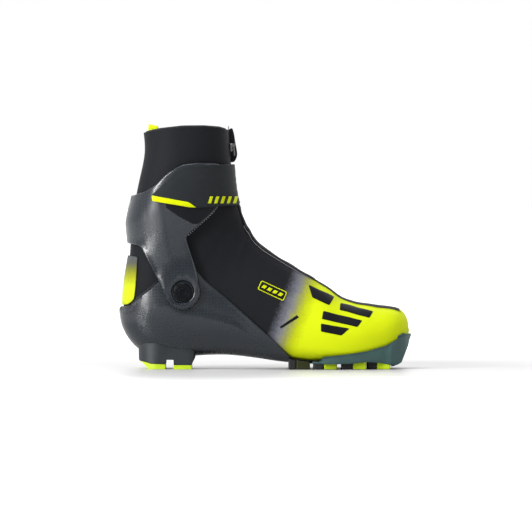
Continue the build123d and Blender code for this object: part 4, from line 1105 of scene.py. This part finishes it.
def teeth(first=8.6, last=23.2):
    """The zip's teeth, left and right by turns, from one station to another along the front line."""
    verts, faces = [], []
    s, side = first, -1
    while s < last:
        d = np.array([np.interp(s, S_TABLE, D_TABLE[:, 2]), np.interp(s, S_TABLE, D_TABLE[:, 3])])
        pace = TOOTH_PITCH / np.linalg.norm(d)
        d /= np.linalg.norm(d)
        nrm = np.array([d[1], -d[0]])
        c = look_up(s)[2:4] + nrm * (0.35 + float(folds(np.array([s]), np.array([0.999]))[0]))
        i = len(verts)
        for a, b, e in ((a, b, e) for a in (-1, 1) for b in (-1, 1) for e in (-1, 1)):
            q = c + d * TOOTH_LONG * a * (1 - 0.2 * (e > 0)) + nrm * TOOTH_TALL * e
            verts.append((q[0], side * 0.55 + TOOTH_WIDE * b * (1 - 0.15 * (e > 0)), q[1]))
        faces += [tuple(i + q for q in face) for face in BOX]
        s += pace
        side = -side
    return verts, faces


verts, faces = teeth()
zip_teeth = link("zip_teeth", verts, faces, None, 30, MAT["teeth"])
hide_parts("zip_chain_foot", "zip_chain_ankle", "zip_chain_shaft")
tape = panel("zip_tape", front_loop(8.3, 23.1, lambda s: 5.2), (0.0, 0.0, 0.0), 0.18, None, "zip_tape",
             MAT["tape"], edge=0.15, cell=2.4, follow=folds)
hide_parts("zip_tape_foot", "zip_tape_ankle", "zip_tape_shaft")

# the flap that stands up beside the zip
FLAP = [
    (-37.6, 239.0), (-34.6, 240.8), (-32.8, 240.8), (-31.2, 235.0), (-30.0, 227.0), (-28.1, 216.5), (-28.1, 213.6),
    (-29.1, 210.0), (-31.2, 206.8), (-35.6, 206.6), (-36.6, 214.0), (-37.2, 226.0),
]


def flap_side(x, z):
    """How far the flap stands from the middle plane: it curls outward at its free edge."""
    return 7.4 + 0.05 * np.clip(x + 35, 0, 9) ** 1.5 + 0.25 * np.sin(z * 0.35)


def slab(name, outline, y_of, thick, body, material, edge=0.8, cell=1.6, stands_for=()):
    """A thin soft piece outlined in side view: its two faces bulge and its edge is round."""
    pts = [np.array(dense(rounded(outline, 1.6, 4), 1.0))]
    lo, hi = pts[0].min(0), pts[0].max(0)
    grid = np.stack(np.meshgrid(np.arange(lo[0], hi[0], cell), np.arange(lo[1], hi[1], cell)), -1).reshape(-1, 2)
    grid = grid[inside(grid, pts)]
    flat, tri = triangulate(pts, [grid[distance_to(grid, pts) > 0.7]])
    share = np.clip(distance_to(flat, pts) / edge, 0, 1)
    half = thick / 2 * np.sqrt(np.clip(1 - (1 - share) ** 2, 0.02, 1))
    x, z = flat.T
    one, two = (np.stack([x, y_of(x, z) + q * half, z], -1) for q in (-1, 1))
    return link(name, np.concatenate([one, two]), closed_faces(tri, len(flat)), body, 80, material, stands_for)


slab("zip_flap_soft", FLAP, flap_side, 1.8, "cuff", MAT["softshell"], stands_for=("zip_flap",))

# ---------------- pull loop at the back of the collar
def arch_webbing(name, half, foot, top, x_low, x_high, thick, fall, body, material, stands_for):
    """A webbing bent into an arch across the boot and leaning down toward the front."""
    corner = 3.2
    path = [(-half, foot + (top - corner - foot) * k / 10) for k in range(11)]
    path += [(corner * (1 - math.cos(a)) - half, top - corner * (1 - math.sin(a)))
             for a in np.linspace(0.2, 1.4, 6)]
    path += [(y, top + 0.15 * math.cos(y / half * 1.5)) for y in np.linspace(-half + corner, half - corner, 9)]
    path += [(-y, z) for y, z in reversed(path[:17])]
    pts = np.array(path)
    way = np.gradient(pts, axis=0)
    way /= np.linalg.norm(way, axis=1, keepdims=True)
    turns = [2 * math.pi * k / 28 for k in range(28)]
    section = [(math.copysign(abs(math.cos(a)) ** 0.3, math.cos(a)),
                math.copysign(abs(math.sin(a)) ** 0.8, math.sin(a)) * thick / 2) for a in turns]
    mid, reach = (x_low + x_high) / 2, (x_high - x_low) / 2
    verts = []
    for (y, z), (wy, wz) in zip(pts, way):
        up = max(0.0, (z - foot) / (top - foot))
        lean = 1.1 * up - 0.55
        for c, h in section:
            x = mid + reach * (1 - 0.05 * up) * c + lean * (c < 0)
            verts.append((x, y - wz * h, z + wy * h - fall * up**3 * (c + 1) / 2))
    m = len(section)
    faces = ring_faces(len(pts), m, flip=True)
    faces += [tuple(range(m)), tuple((len(pts) - 1) * m + k for k in reversed(range(m)))]
    link(name, verts, faces, body, 60, material, stands_for)


arch_webbing("pull_loop_webbing", 7.75, 227.0, 244.3, -117.6, -106.9, 1.3, 1.9, "cuff",
             MAT["lime_web"], ("pull_loop",))

for soft in (upper, lining, tongue, placket, zip_teeth, tape):
    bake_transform(soft)

# ---------------- floor, light and camera
floor_mat = Nodes("floor")
away = floor_mat.new("ShaderNodeVectorMath", {0: floor_mat.co}, out="Value", operation="LENGTH")
# the floor is darker near the boot, a painted shadow, and glows further away, painted light that keeps the far floor
# white
shadow_and_glow_fade = floor_mat.span(away, 0.26, 0.9)
pale = floor_mat.mix(floor_mat.noise(3.0, 2), (0.90, 0.90, 0.905), (0.93, 0.93, 0.93))
glow = {"Emission Color": (1, 1, 1), "Emission Strength": floor_mat.math("MULTIPLY", shadow_and_glow_fade, 0.45)}
floor_mat.finish(floor_mat.mix(shadow_and_glow_fade, (0.50, 0.50, 0.502), pale), 0.36, shine=0.35, **glow)
HALF, UNDER = 30, -0.0002
corners = [(x, y, UNDER) for x, y in ((-HALF, -HALF), (HALF, -HALF), (HALF, HALF), (-HALF, HALF))]
floor_mesh = bpy.data.meshes.new("floor")
floor_mesh.from_pydata(corners, [], [(0, 1, 2, 3)])
floor_mesh.materials.append(floor_mat.mat)
floor = bpy.data.objects.new("floor", floor_mesh)
bpy.context.scene.collection.objects.link(floor)
bpy.context.scene.view_settings.view_transform = "Standard"

world = bpy.data.worlds.new("studio")
bpy.context.scene.world = world
world.use_nodes = True
tree = world.node_tree
background = next(n for n in tree.nodes if n.type == "BACKGROUND")
background.inputs[0].default_value = (1, 1, 1, 1)
split = tree.nodes.new("ShaderNodeSeparateXYZ")
band = tree.nodes.new("ShaderNodeMapRange")
# the studio is brightest in front of the boot and dimmer behind it
for socket, value in ((1, -0.75), (2, 0.25), (3, 0.42), (4, 1.0)):
    band.inputs[socket].default_value = value
tree.links.new(tree.nodes.new("ShaderNodeTexCoord").outputs["Generated"], split.inputs[0])
tree.links.new(split.outputs[1], band.inputs[0])
tree.links.new(band.outputs[0], background.inputs[1])


def area_light(name, where, target, size, power):
    data = bpy.data.lights.new(name, "AREA")
    data.shape = "RECTANGLE"
    data.size, data.size_y = size
    data.energy = power
    o = bpy.data.objects.new(name, data)
    bpy.context.scene.collection.objects.link(o)
    o.location = where
    o.rotation_mode = "QUATERNION"
    o.rotation_quaternion = (Vector(target) - Vector(where)).to_track_quat("-Z", "Y")


MIDDLE = (0.0, 0.0, 0.11)
area_light("key_top", (-0.25, -0.55, 1.35), MIDDLE, (0.9, 0.6), 12)
area_light("left", (-1.20, -0.92, 0.62), (-0.09, 0.0, 0.11), (0.30, 0.80), 30)
area_light("right", (1.1, -0.9, 0.55), MIDDLE, (0.4, 0.9), 3)
area_light("back", (0.2, 1.2, 0.9), MIDDLE, (1.4, 0.6), 6)

cam_data = bpy.data.cameras.new("camera")
cam = bpy.data.objects.new("camera", cam_data)
bpy.context.scene.collection.objects.link(cam)
bpy.context.scene.camera = cam
FAR, TILT, SEEN = 6.5, math.radians(0.8), 0.532         # distance, height angle and width in view, m
aim = Vector((0.0008, -0.02, 0.1029))
cam.location = aim + Vector((0, -math.cos(TILT) * FAR, math.sin(TILT) * FAR))
cam.rotation_mode = "QUATERNION"
cam.rotation_quaternion = (aim - cam.location).to_track_quat("-Z", "Y")
cam_data.sensor_width = 36
cam_data.lens = cam_data.sensor_width * FAR / SEEN
cam_data.clip_start, cam_data.clip_end = 0.5, 60
